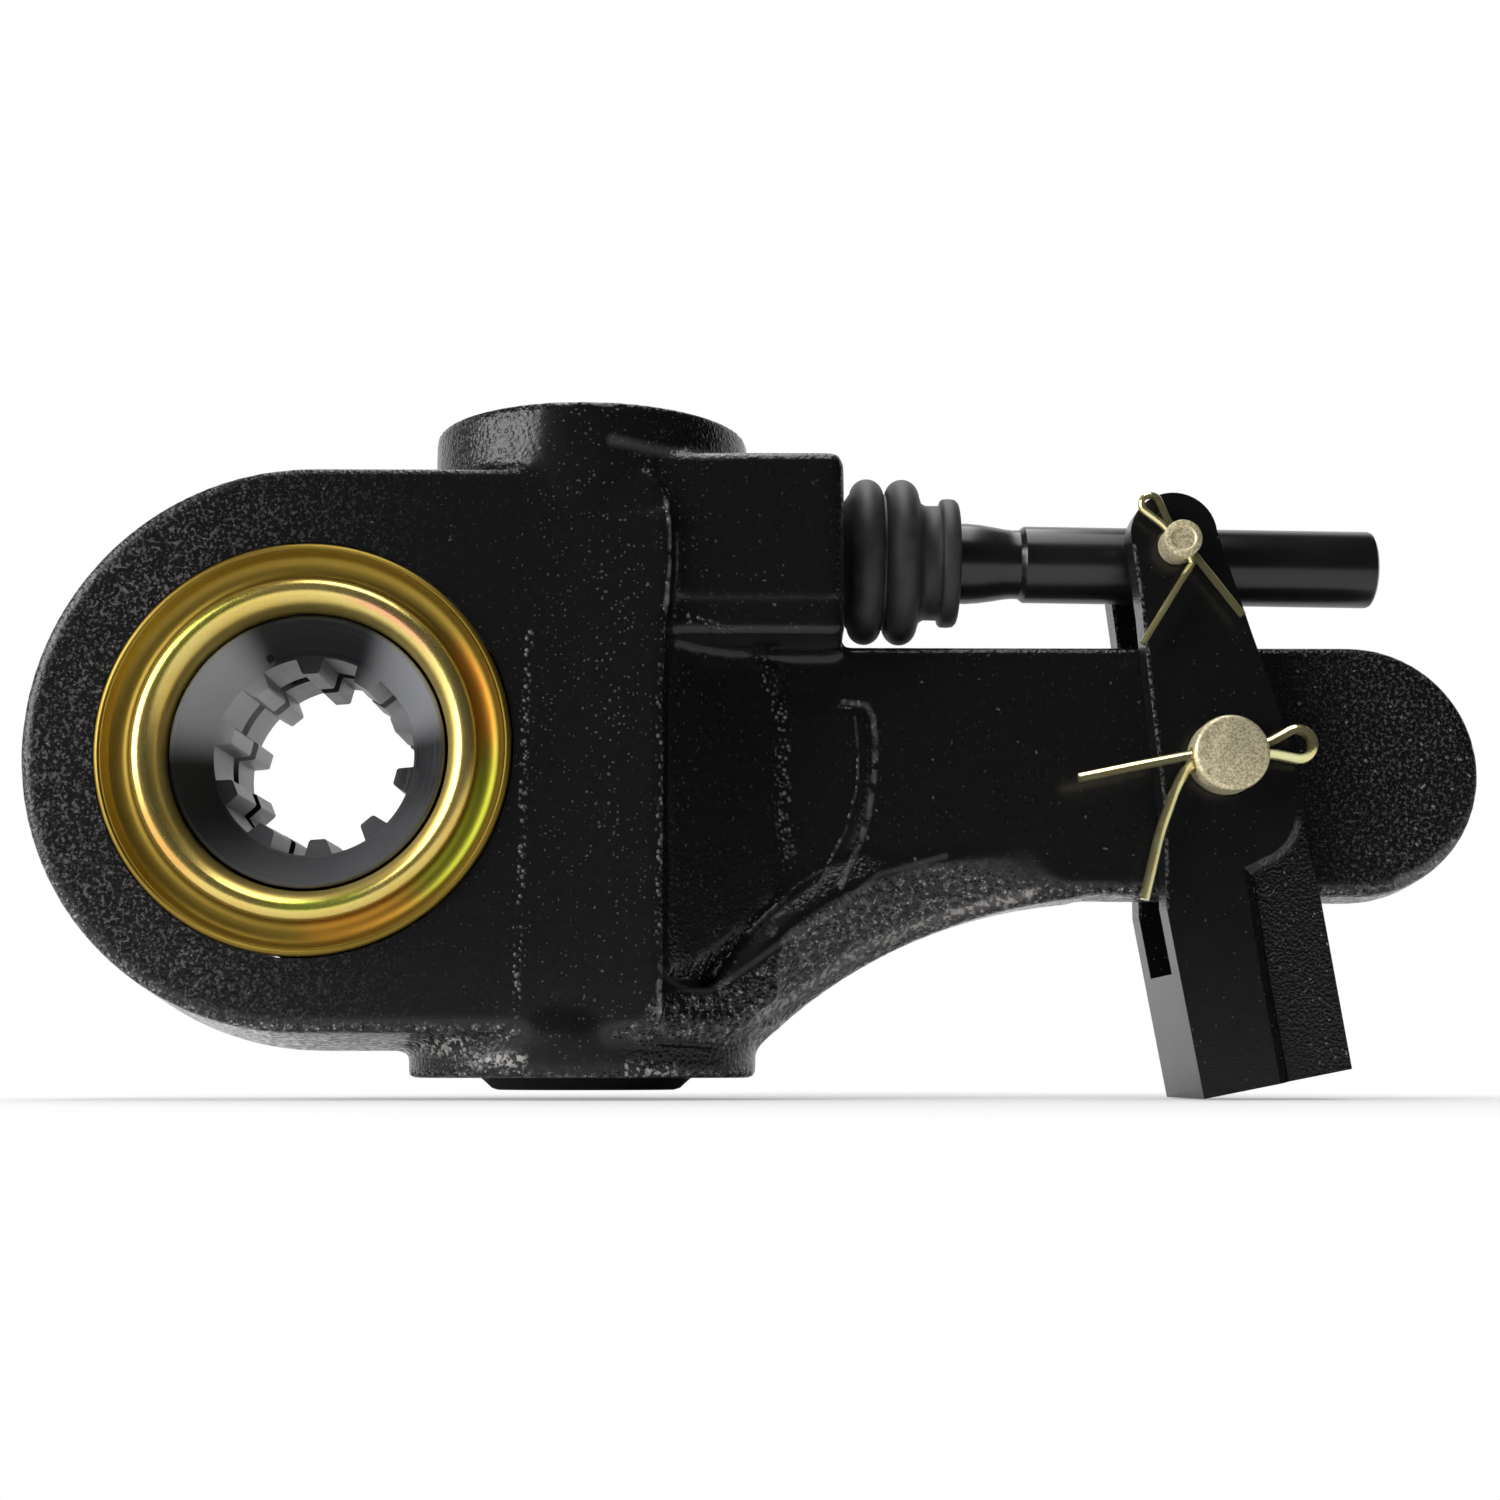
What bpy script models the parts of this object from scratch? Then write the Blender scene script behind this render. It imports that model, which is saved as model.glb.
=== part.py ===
"""Automatic brake slack adjuster with its clevis, in metres.

The camshaft spline runs along Y through the origin, the arm reaches along +X
and the worm stands along Z. The front of the adjuster faces -Y.
"""
import math

import bmesh
import bpy
from mathutils import Matrix, Vector

# Gaps between pieces
GAP = 0.0003
RUN_GAP = 0.0005

# Camshaft spline and worm wheel
SPLINE_TEETH = 10
SPLINE_MAJOR_R = 0.0167
SPLINE_MINOR_R = 0.0140
SPLINE_TIP_HALF = 0.00138
SPLINE_BASE_HALF = 0.00233
SPLINE_FIRST_ANGLE = math.radians(-86)
SPLINE_HALF_LENGTH = 0.016
SPLINE_GROOVE_FRONT = -0.0010
SPLINE_GROOVE_BACK = 0.0032
SPLINE_GROOVE_DEPTH = 0.0012
HUB_R = 0.0226
HUB_HALF_LENGTH = 0.0226
HUB_LIP = 0.0007
WHEEL_TEETH = 20
MODULE = 0.003
WHEEL_PITCH_R = WHEEL_TEETH * MODULE / 2
WHEEL_ADDENDUM = 0.0027
WHEEL_DEDENDUM = 0.0036
WHEEL_TIP_R = WHEEL_PITCH_R + WHEEL_ADDENDUM
WHEEL_CLEARANCE = 0.0015
WHEEL_HALF_WIDTH = 0.009
TOOTH_HALF = 0.00205
PRESSURE_TAN = math.tan(math.radians(20))

# Worm shaft, standing beside the wheel
WORM_PITCH_R = 0.015
WORM_ADDENDUM = 0.0027
WORM_DEDENDUM = 0.0034
WORM_LEAD = math.pi * MODULE
WORM_HALF_LENGTH = 0.0235
WORM_STEPS = 14
WORM_X = WHEEL_PITCH_R + WORM_PITCH_R
WORM_TIP_R = WORM_PITCH_R + WORM_ADDENDUM
WORM_ROOT_R = WORM_PITCH_R - WORM_DEDENDUM
WORM_BORE_R = WORM_TIP_R + RUN_GAP

# Casting: round hub end, worm housing, upper block and bosses
CAST_R = 0.0457
CAST_HALF_WIDTH = 0.026
CAST_DRAFT = 0.003
CAST_EDGE = 0.0014
CAST_RIGHT = 0.0585
PAD_LEFT = 0.0360
PAD_RISE = 0.0010
WHEEL_BORE_R = WHEEL_TIP_R + WHEEL_CLEARANCE
TOP_BOSS_R = 0.02735
TOP_BOSS_TOP = 0.0582
TOP_BOSS_FILLET = 0.0046
TOP_WALL = 0.0053
BOTTOM_BOSS_R = 0.0295
BOTTOM_BOSS_RISE = 0.0075
BOTTOM_BOSS_LOW = -CAST_R - BOTTOM_BOSS_RISE
BLOCK_RIGHT = 0.0885
BLOCK_TOP = 0.0507
BLOCK_FACE_LOW = 0.0260
BLOCK_LOW = 0.0200
BLOCK_HALF_WIDTH = 0.024
BLOCK_CORNER = 0.0028
SHOULDER_LENGTH = 0.0220
SHOULDER_HALF_WIDTH = 0.0195
SHOULDER_LOW = -0.0400
PANEL_RIGHT = 0.0935
PANEL_LOW = -0.0300
PANEL_BOW_R = 0.040
PANEL_RISE = 0.0008

# Arm
ARM_LENGTH = 0.1524
ARM_HALF_WIDTH = 0.009
ARM_DRAFT = 0.0006
ARM_TOP = 0.0199
ARM_END_R = 0.0215
ARM_END_X = 0.1760
ARM_END_Z = ARM_TOP - ARM_END_R
ARM_LOW = ARM_END_Z - ARM_END_R
UNDERCUT_R = 0.088
UNDERCUT_X = 0.1360
FLANK_TOP = -0.0155
FLANK_R = 0.058
FLANK_X = 0.1160
FLANK_END = 0.1230
FLANK_SPREAD = 0.0108
BUSH_WALL = 0.0016

# Clevis, measured along and across the line through its two pins
CLEVIS_LEAN = math.radians(-11.1)
PIN_SPACING = 0.0369
CLEVIS_HALF_WIDTH = 0.016
CLEVIS_GAP_HALF = 0.0096
CLEVIS_SLOT_LOW = -0.0336
CLEVIS_BOTTOM = -0.0546
CLEVIS_RECESS = 0.0018
STUD_HOLE_R = 0.00735
STUD_HOLE_X = -0.0028
LARGE_PIN_R = 0.00635
SMALL_PIN_R = 0.003175
PIN_FRONT = -0.0222
LARGE_HEAD_R = 0.0090
SMALL_HEAD_R = 0.0050
HEAD_THICKNESS = 0.0030
COTTER_Y = -0.0192
LARGE_WIRE_R = 0.00092
SMALL_WIRE_R = 0.00060
LARGE_COTTER_ANGLE = math.radians(-2.5)
SMALL_COTTER_ANGLE = math.radians(-64)

# Link rod, boot and rack
ROD_TILT = math.radians(0.8)
ROD_R = 0.00675
ROD_SHOULDER_R = 0.0071
ROD_STEP_X = 0.1180
ROD_END_X = 0.1838
EYE_R = 0.0052
EYE_HALF_WIDTH = 0.0036
ROD_SWING = 0.0013
BOOT_RIGHT = 0.1098
BOOT_FOLD_R = 0.0146
BOOT_CUFF_R = 0.0101
BOOT_LIP_R = 0.0113
PINION_TEETH = 12
PINION_MODULE = 0.0015
PINION_PITCH_R = PINION_TEETH * PINION_MODULE / 2
PINION_TIP_R = PINION_PITCH_R + PINION_MODULE * 0.85
PINION_HEIGHT = 0.0080
RACK_THICKNESS = 0.0040
RACK_LEFT = 0.0265
RACK_HALF_HEIGHT = 0.0045
RACK_PIN_R = 0.0018
FORK_HALF_WIDTH = 0.0078
FORK_LENGTH = 0.0110
FORK_TO_PIN = 0.0070
RACK_RETURN = 0.005725
FORK_LEFT = WORM_X + PINION_TIP_R + RACK_RETURN
FORK_RIGHT = FORK_LEFT + FORK_LENGTH
ROD_JOINT_X = FORK_LEFT + FORK_TO_PIN
CHANNEL_HALF_HEIGHT = 0.0080
CHANNEL_LEFT = 0.0190
CHANNEL_BACK = 0.0168
CHANNEL_FRONT = -0.0092

# Cover rings and plugs
RING_OUTER_R = WHEEL_BORE_R - GAP
RING_INNER_R = HUB_R + RUN_GAP
RING_SHEET = 0.0012
RING_DEPTH = 0.0040
RING_ROLL = 0.0071
HUB_CORD_R = 0.0017
HUB_SEAL_DEPTH = 0.0048
PLUG_CORD_R = 0.0011
PLUG_DISC_R = 0.0179
PLUG_DISC_THICKNESS = 0.0020
PLUG_DEPTH = 0.0120
PLUG_RECESS = 0.0040
CAP_DEPTH = 0.0052
CAP_THICKNESS = 0.0018

# Shaft journals and the adjusting hexagon
SHAFT_NECK_R = WORM_ROOT_R - 0.004
SHAFT_TOP_R = 0.0050
SHAFT_LOW_R = 0.0090
HEX_ACROSS = 0.0111
PLUG_TOP = BOTTOM_BOSS_LOW + PLUG_DEPTH
NECK_TOP = WORM_HALF_LENGTH + 0.0050
CLUTCH_R = 0.0072
CLUTCH_HEIGHT = 0.0034
CLUTCH_WIRE_R = 0.0007
ADJUSTER_SPRING_R = 0.0108
ADJUSTER_WIRE_R = 0.0009

# Grease fitting and relief plug on the rear face
FITTING_X = WORM_X + 0.001
FITTING_Z = -0.0300
FITTING_THREAD_R = 0.0035
FITTING_HEX_R = 0.0052
FITTING_LENGTH = 0.0115
RELIEF_THREAD_R = 0.0045
RELIEF_HEAD_R = 0.0062
RELIEF_LENGTH = 0.0034
RELIEF_Z = 0.0060

# Facets round large, middling and small circles
LARGE_STEPS = 32
ROUND_STEPS = 26
SMALL_STEPS = 14


def clear_scene():
    for old in list(bpy.data.objects):
        bpy.data.objects.remove(old, do_unlink=True)


def make_material(name, color, roughness, metallic):
    material = bpy.data.materials.new(name)
    material.use_nodes = True
    shader = material.node_tree.nodes["Principled BSDF"]
    shader.inputs["Base Color"].default_value = (*color, 1.0)
    shader.inputs["Roughness"].default_value = roughness
    shader.inputs["Metallic"].default_value = metallic
    material.diffuse_color = (*color, 1.0)
    return material


def arc(center_x, center_z, radius, start, end, steps):
    """Points along an arc from one angle to the other, in degrees, both ends included."""
    points = []
    for index in range(steps + 1):
        angle = math.radians(start + (end - start) * index / steps)
        points.append((center_x + radius * math.cos(angle), center_z + radius * math.sin(angle)))
    return points


def finish(name, mesh, material, location=(0, 0, 0), angle=35):
    """Turn a bmesh into a named object with outward faces and sharp edges kept."""
    bmesh.ops.remove_doubles(mesh, verts=mesh.verts, dist=1e-7)
    bmesh.ops.recalc_face_normals(mesh, faces=mesh.faces)
    data = bpy.data.meshes.new(name)
    mesh.to_mesh(data)
    mesh.free()
    data.shade_smooth()
    data.set_sharp_from_angle(angle=math.radians(angle))
    data.materials.append(material)
    piece = bpy.data.objects.new(name, data)
    piece.location = location
    bpy.context.collection.objects.link(piece)
    return piece


def turned(name, profile, axis, material, location=(0, 0, 0), steps=ROUND_STEPS):
    """Spin a closed profile of (radius, height) points about an axis through the location."""
    mesh = bmesh.new()
    verts = [mesh.verts.new((radius, 0, height)) for radius, height in profile]
    edges = []
    for near, far in zip(verts, verts[1:] + verts[:1]):
        if near.co.x > 0 or far.co.x > 0:
            edges.append(mesh.edges.new((near, far)))
    bmesh.ops.spin(
        mesh, geom=verts + edges, cent=(0, 0, 0), axis=(0, 0, 1),
        angle=2 * math.pi, steps=steps, use_merge=True, use_duplicate=False,
    )
    bmesh.ops.remove_doubles(mesh, verts=mesh.verts, dist=1e-6)
    half_step = Matrix.Rotation(math.pi / steps, 3, "Z")
    turn = Vector((0, 0, 1)).rotation_difference(Vector(axis)).to_matrix()
    bmesh.ops.rotate(mesh, cent=(0, 0, 0), matrix=turn @ half_step, verts=mesh.verts)
    return finish(name, mesh, material, location)


def lofted(name, loops, material, location=(0, 0, 0), angle=35):
    """Skin a row of closed loops that have equal numbers of points, and cap both ends."""
    mesh = bmesh.new()
    rings = []
    for loop in loops:
        verts = [mesh.verts.new(point) for point in loop]
        edges = [mesh.edges.new((verts[i], verts[(i + 1) % len(verts)])) for i in range(len(verts))]
        rings.append((verts, edges))
    count = len(loops[0])
    sides = []
    for (near, _), (far, _) in zip(rings, rings[1:]):
        for i in range(count):
            j = (i + 1) % count
            sides.append(mesh.faces.new((near[i], near[j], far[j], far[i])))
    mesh.faces.new(rings[0][0])
    mesh.faces.new(list(reversed(rings[-1][0])))
    bmesh.ops.connect_verts_nonplanar(mesh, angle_limit=math.radians(0.01), faces=sides)
    return finish(name, mesh, material, location, angle)


def prism_y(name, outline, low, high, material, location=(0, 0, 0)):
    """Extrude an outline of (x, z) points along Y."""
    loops = [[(x, y, z) for x, z in outline] for y in (low, high)]
    return lofted(name, loops, material, location)


def prism_z(name, outline, low, high, material, location=(0, 0, 0)):
    """Extrude an outline of (x, y) points along Z."""
    loops = [[(x, y, z) for x, y in outline] for z in (low, high)]
    return lofted(name, loops, material, location)


def cast_prism(name, outline_at, half_width, draft, edge, material):
    """A casting drawn both ways from its parting line: widest at y = 0, edges broken."""
    stations = [
        (-half_width, -edge), (-half_width + edge, 0.0), (0.0, draft),
        (half_width - edge, 0.0), (half_width, -edge),
    ]
    loops = [[(x, y, z) for x, z in outline_at(grow)] for y, grow in stations]
    return lofted(name, loops, material)


def cylinder(name, radius, low, high, axis, location, material, steps=ROUND_STEPS, chamfer=0.0):
    profile = [(0, low), (radius - chamfer, low), (radius, low + chamfer)]
    profile += [(radius, high - chamfer), (radius - chamfer, high), (0, high)]
    if chamfer == 0.0:
        profile = [(0, low), (radius, low), (radius, high), (0, high)]
    return turned(name, profile, axis, material, location, steps)


def box(name, corner_a, corner_b, material, location=(0, 0, 0)):
    (ax, ay, az), (bx, by, bz) = corner_a, corner_b
    outline = [(ax, az), (bx, az), (bx, bz), (ax, bz)]
    return prism_y(name, outline, ay, by, material, location)


def boolean(piece, tools, operation):
    """Join or cut with other solids, which stay behind as hidden guides."""
    for tool in tools:
        modifier = piece.modifiers.new(f"{operation.lower()}_{tool.name}", "BOOLEAN")
        modifier.operation = operation
        modifier.solver = "EXACT"
        modifier.object = tool
        tool.hide_render = True
        tool.display_type = "WIRE"
        tool.hide_set(True)


def wire(name, points, radius, material, location=(0, 0, 0)):
    """A round wire along the points, with closed ends."""
    data = bpy.data.curves.new(name, "CURVE")
    data.dimensions = "3D"
    data.bevel_depth = radius
    data.bevel_resolution = 1
    data.use_fill_caps = True
    spline = data.splines.new("POLY")
    spline.points.add(len(points) - 1)
    for target, point in zip(spline.points, points):
        target.co = (*point, 1)
    data.materials.append(material)
    piece = bpy.data.objects.new(name, data)
    piece.location = location
    bpy.context.collection.objects.link(piece)
    return piece


def pivot(name, location, tilt=0.0):
    """An empty on a joint's axis, which carries the pieces that turn with it."""
    empty = bpy.data.objects.new(name, None)
    empty.location = location
    empty.rotation_euler = (0, tilt, 0)
    bpy.context.collection.objects.link(empty)
    return empty


def body_outline(grow):
    """Round end and straight worm housing of the casting, grown outward by a distance."""
    radius = CAST_R + grow
    right = CAST_RIGHT + grow
    corner = 0.003 + grow / 2
    points = arc(0, 0, radius, 90, 270, 24)
    points += arc(right - corner, -radius + corner, corner, -90, 0, 4)
    points += arc(right - corner, radius - corner, corner, 0, 90, 4)
    return points


def pad_outline(grow):
    """Raised strip of the worm housing on each side face."""
    right = CAST_RIGHT + grow
    corner = 0.003
    low = -CAST_R - grow
    left = PAD_LEFT - grow
    points = [(left, CAST_R - CAST_DRAFT), (left, low + corner)]
    points += arc(left + corner, low + corner, corner, 180, 270, 3)[1:]
    points += arc(right - corner, low + corner, corner, -90, 0, 3)
    points += [(right, CAST_R - CAST_DRAFT)]
    return points


def undercut_z(x):
    """Height of the arm's curved underside at its parting line."""
    if x >= UNDERCUT_X:
        return ARM_LOW
    drop = UNDERCUT_R - math.sqrt(UNDERCUT_R ** 2 - (UNDERCUT_X - x) ** 2)
    return max(ARM_LOW - drop, BOTTOM_BOSS_LOW + 0.004)


def flank_z(x):
    """Height of the edge where the arm's side face breaks into its sloping underside."""
    if x >= FLANK_X:
        return FLANK_TOP
    run = min(FLANK_X - x, FLANK_R * 0.86)
    return FLANK_TOP - FLANK_R + math.sqrt(FLANK_R ** 2 - run ** 2)


def flank_half_width(x):
    """The underside widens from the arm's thickness towards the worm housing."""
    wide_from = 0.098
    spread = max(0.0, wide_from - x) / (wide_from - CAST_RIGHT) * FLANK_SPREAD
    return ARM_HALF_WIDTH + ARM_DRAFT + spread


def arm_outline(grow):
    """Flat arm: straight top, round end, and the edge above the sloping underside."""
    points = [(WORM_X, ARM_TOP + grow), (WORM_X, -CAST_R + 0.008)]
    start = CAST_RIGHT + 0.006
    for index in range(9):
        x = start + (FLANK_END - 0.004 - start) * index / 8
        points.append((x, flank_z(x) - 0.0005 - grow))
    points.append((FLANK_END, ARM_LOW - grow))
    points += arc(ARM_END_X, ARM_END_Z, ARM_END_R + grow, -90, 90, 16)
    return points


def flank_loops():
    """Sections of the sloping underside, from the lower boss to the plain arm."""
    start = CAST_RIGHT - 0.004
    loops = []
    for index in range(10):
        x = start + (FLANK_END + 0.006 - start) * index / 9
        half = flank_half_width(x)
        edge = flank_z(x)
        low = undercut_z(x)
        if x > FLANK_END:
            half = ARM_HALF_WIDTH - 0.001
            low = ARM_LOW + 0.0008
        top = edge + 0.005
        drop = edge - low
        left = [(-half + 0.002, top), (-half, edge), (-0.80 * half, edge - 0.42 * drop)]
        left += [(-0.44 * half, edge - 0.82 * drop), (-0.0012, low)]
        loops.append([(x, y, z) for y, z in left] + [(x, -y, z) for y, z in reversed(left)])
    return loops


def shoulder_loops():
    """Sloping shoulder between the wide worm housing and the thin arm."""
    thin = ARM_HALF_WIDTH - 0.0005
    high_start, high_end = BLOCK_FACE_LOW - 0.0020, ARM_TOP - 0.0029
    low_end = SHOULDER_LOW + SHOULDER_LENGTH * 0.73
    stations = [
        (-0.27, 1.0, 1.0, 1.0), (0.09, 0.87, 0.97, 0.94), (0.45, 0.49, 0.61, 0.72),
        (0.84, 0.16, 0.14, 0.22), (1.0, 0.0, 0.0, 0.0),
    ]
    loops = []
    for along, wide, raised, lowered in stations:
        x = CAST_RIGHT + along * SHOULDER_LENGTH
        half = thin + wide * (SHOULDER_HALF_WIDTH - thin)
        high = high_end + raised * (high_start - high_end)
        low = low_end + lowered * (SHOULDER_LOW - low_end)
        cut = half * 0.22
        side = [(-half + cut, low), (-half, low + cut), (-half, high - cut), (-half + cut, high)]
        loops.append([(x, y, z) for y, z in side] + [(x, -y, z) for y, z in reversed(side)])
    return loops


def plateau_outline():
    """Low raised panel on each side of the arm beside the shoulder."""
    left = CAST_RIGHT + SHOULDER_LENGTH * 0.55
    points = [(left, ARM_TOP - 0.0104), (left, PANEL_LOW)]
    points += [(PANEL_RIGHT - 0.011, PANEL_LOW + 0.0045), (PANEL_RIGHT - 0.0065, PANEL_LOW + 0.0078)]
    points += arc(PANEL_RIGHT - PANEL_BOW_R, 0.002, PANEL_BOW_R, -24, 0, 6)
    points += arc(PANEL_RIGHT - 0.004, ARM_TOP - 0.0144, 0.004, 0, 90, 3)
    return points


def block_loops():
    """Upper block that guides the rack, with its lower edges cut back."""
    loops = []
    stations = [
        (CAST_RIGHT - 0.012, 0.0), (BLOCK_RIGHT - BLOCK_CORNER, 0.0),
        (BLOCK_RIGHT - BLOCK_CORNER * 0.3, BLOCK_CORNER * 0.3), (BLOCK_RIGHT, BLOCK_CORNER),
    ]
    for x, inset in stations:
        side = BLOCK_HALF_WIDTH - inset
        top = BLOCK_TOP - inset
        face_low = BLOCK_FACE_LOW + inset / 2
        low = BLOCK_LOW - 0.0015 + inset / 2
        corner = BLOCK_CORNER
        outline = [
            (-side, face_low), (-side, top - corner), (-side + corner * 0.3, top - corner * 0.3),
            (-side + corner, top), (side - corner, top), (side - corner * 0.3, top - corner * 0.3),
            (side, top - corner), (side, face_low), (side * 0.55, low), (-side * 0.55, low),
        ]
        loops.append([(x, y, z) for y, z in outline])
    return loops


def top_boss_loops():
    """Upper boss: round where it stands clear, filleted to the casting at its foot."""
    chamfer = 0.0008
    flat = CAST_HALF_WIDTH + PAD_RISE * 0.6
    fillet = min(TOP_BOSS_FILLET, (TOP_BOSS_TOP - CAST_R) / 2)
    flared = TOP_BOSS_R + fillet * 0.52
    stations = [
        (CAST_R - 0.012, flared, flat), (CAST_R + fillet * 0.13, flared, flat),
        (CAST_R + fillet * 0.43, TOP_BOSS_R + fillet * 0.22, flat),
        (CAST_R + fillet, TOP_BOSS_R, TOP_BOSS_R), (TOP_BOSS_TOP - chamfer, TOP_BOSS_R, TOP_BOSS_R),
        (TOP_BOSS_TOP, TOP_BOSS_R - chamfer, TOP_BOSS_R - chamfer),
    ]
    loops = []
    for z, long_r, short_r in stations:
        outline = arc(0, 0, 1, 5, 365 - 360 / LARGE_STEPS, LARGE_STEPS - 1)
        loops.append([(WORM_X + long_r * x, short_r * y, z) for x, y in outline])
    return loops


def bottom_boss_loops():
    """Lower boss, as deep as the casting and flared by a fillet towards its two ends."""
    root = -CAST_R + 0.001
    flare = 0.0040
    stations = [(root + 0.006, flare)]
    for degrees in (0, 22, 45, 68, 90):
        angle = math.radians(degrees)
        stations.append((root - flare * (1 - math.cos(angle)), flare * (1 - math.sin(angle))))
    stations += [(BOTTOM_BOSS_LOW + 0.0006, 0.0), (BOTTOM_BOSS_LOW, -0.0006)]
    loops = []
    for z, grow in stations:
        long_r = BOTTOM_BOSS_R + grow
        short_r = CAST_HALF_WIDTH + PAD_RISE * 0.6 + min(grow, 0)
        outline = arc(0, 0, 1, 5, 365 - 360 / LARGE_STEPS, LARGE_STEPS - 1)
        loops.append([(WORM_X - 0.0006 + long_r * x, short_r * y, z) for x, y in outline])
    return loops


def rod_axis_z(x):
    """Height of the link rod's axis, which runs down slightly to the small pin."""
    pin_x = ARM_LENGTH + PIN_SPACING * math.sin(CLEVIS_LEAN)
    pin_z = PIN_SPACING * math.cos(CLEVIS_LEAN)
    return pin_z + (pin_x - x) * math.tan(ROD_TILT)


def cavity_profile():
    """Bore of the worm, its upper neck, the pinion's pocket and the seat of the top cap."""
    beyond = 0.004
    neck_r = SHAFT_NECK_R + RUN_GAP
    pocket_r = PINION_PITCH_R + 0.003
    seat_r = TOP_BOSS_R - TOP_WALL
    shelf = WORM_HALF_LENGTH + 0.0025
    pocket_low = rod_axis_z(WORM_X) - CHANNEL_HALF_HEIGHT + 0.0005
    seat_low = rod_axis_z(WORM_X) + CHANNEL_HALF_HEIGHT - 0.001
    profile = [(0, BOTTOM_BOSS_LOW - beyond), (WORM_BORE_R, BOTTOM_BOSS_LOW - beyond)]
    profile += [(WORM_BORE_R, shelf), (neck_r, shelf), (neck_r, pocket_low), (pocket_r, pocket_low)]
    profile += [(pocket_r, seat_low), (seat_r, seat_low), (seat_r, TOP_BOSS_TOP + beyond)]
    return profile + [(0, TOP_BOSS_TOP + beyond)]


def make_housing(iron):
    """The cast housing and arm, with its bores cut."""
    housing = cast_prism("housing", body_outline, CAST_HALF_WIDTH, CAST_DRAFT, CAST_EDGE, iron)
    pad_half = CAST_HALF_WIDTH + PAD_RISE
    pad = cast_prism("housing_pad", pad_outline, pad_half, 0.0016, PAD_RISE, iron)
    top = lofted("housing_top_boss", top_boss_loops(), iron)
    bottom = lofted("housing_bottom_boss", bottom_boss_loops(), iron)
    arm = cast_prism("housing_arm", arm_outline, ARM_HALF_WIDTH, ARM_DRAFT, 0.0010, iron)
    flank = lofted("housing_flank", flank_loops(), iron)
    shoulder = lofted("housing_shoulder", shoulder_loops(), iron)
    plateau_half = ARM_HALF_WIDTH + PANEL_RISE
    plateau = prism_y("housing_plateau", plateau_outline(), -plateau_half, plateau_half, iron)
    block = lofted("housing_block", block_loops(), iron)
    boolean(housing, [pad, top, bottom, arm, flank, shoulder, plateau, block], "UNION")

    beyond = 0.004
    wheel_bore = cylinder(
        "housing_wheel_bore", WHEEL_BORE_R, -pad_half - beyond, pad_half + beyond,
        (0, 1, 0), (0, 0, 0), iron, LARGE_STEPS,
    )
    worm_cavity = turned(
        "housing_worm_cavity", cavity_profile(), (0, 0, 1), iron, (WORM_X, 0, 0),
    )
    middle = rod_axis_z(ROD_JOINT_X)
    channel = box(
        "housing_channel", (CHANNEL_LEFT, CHANNEL_FRONT, middle - CHANNEL_HALF_HEIGHT),
        (BLOCK_RIGHT - 0.0035, CHANNEL_BACK, middle + CHANNEL_HALF_HEIGHT), iron,
    )
    mouth = cylinder(
        "housing_mouth", ROD_SHOULDER_R + 0.0016, ROD_JOINT_X, BLOCK_RIGHT + beyond,
        (1, 0, 0), (0, 0, rod_axis_z(BLOCK_RIGHT)), iron, 32,
    )
    eye = cylinder(
        "housing_arm_eye", LARGE_PIN_R + RUN_GAP + BUSH_WALL + GAP,
        -ARM_HALF_WIDTH - beyond, ARM_HALF_WIDTH + beyond,
        (0, 1, 0), (ARM_LENGTH, 0, 0), iron,
    )
    fitting = cylinder(
        "housing_fitting_hole", FITTING_THREAD_R + GAP, WORM_BORE_R - 0.004, CAST_HALF_WIDTH + beyond,
        (0, 1, 0), (FITTING_X, 0, FITTING_Z), iron, SMALL_STEPS,
    )
    relief = cylinder(
        "housing_relief_hole", RELIEF_THREAD_R + GAP, WORM_BORE_R - 0.004, CAST_HALF_WIDTH + beyond,
        (0, 1, 0), (FITTING_X, 0, RELIEF_Z), iron, SMALL_STEPS,
    )
    tools = [wheel_bore, worm_cavity, channel, mouth, eye, fitting, relief]
    boolean(housing, tools, "DIFFERENCE")
    return housing


def spline_outline():
    """Section of the splined bore: wide grooves between ten narrow teeth."""
    base = math.asin(SPLINE_BASE_HALF / SPLINE_MAJOR_R)
    tip = math.asin(SPLINE_TIP_HALF / SPLINE_MINOR_R)
    pitch = 2 * math.pi / SPLINE_TEETH
    points = []
    for tooth in range(SPLINE_TEETH):
        middle = SPLINE_FIRST_ANGLE + tooth * pitch
        polar = [(SPLINE_MAJOR_R, middle - base), (SPLINE_MINOR_R, middle - tip)]
        polar += [(SPLINE_MINOR_R, middle + tip), (SPLINE_MAJOR_R, middle + base)]
        groove = pitch - 2 * base
        polar += [(SPLINE_MAJOR_R, middle + base + groove * step / 3) for step in (1, 2)]
        points += [(radius * math.cos(angle), radius * math.sin(angle)) for radius, angle in polar]
    return points


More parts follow.
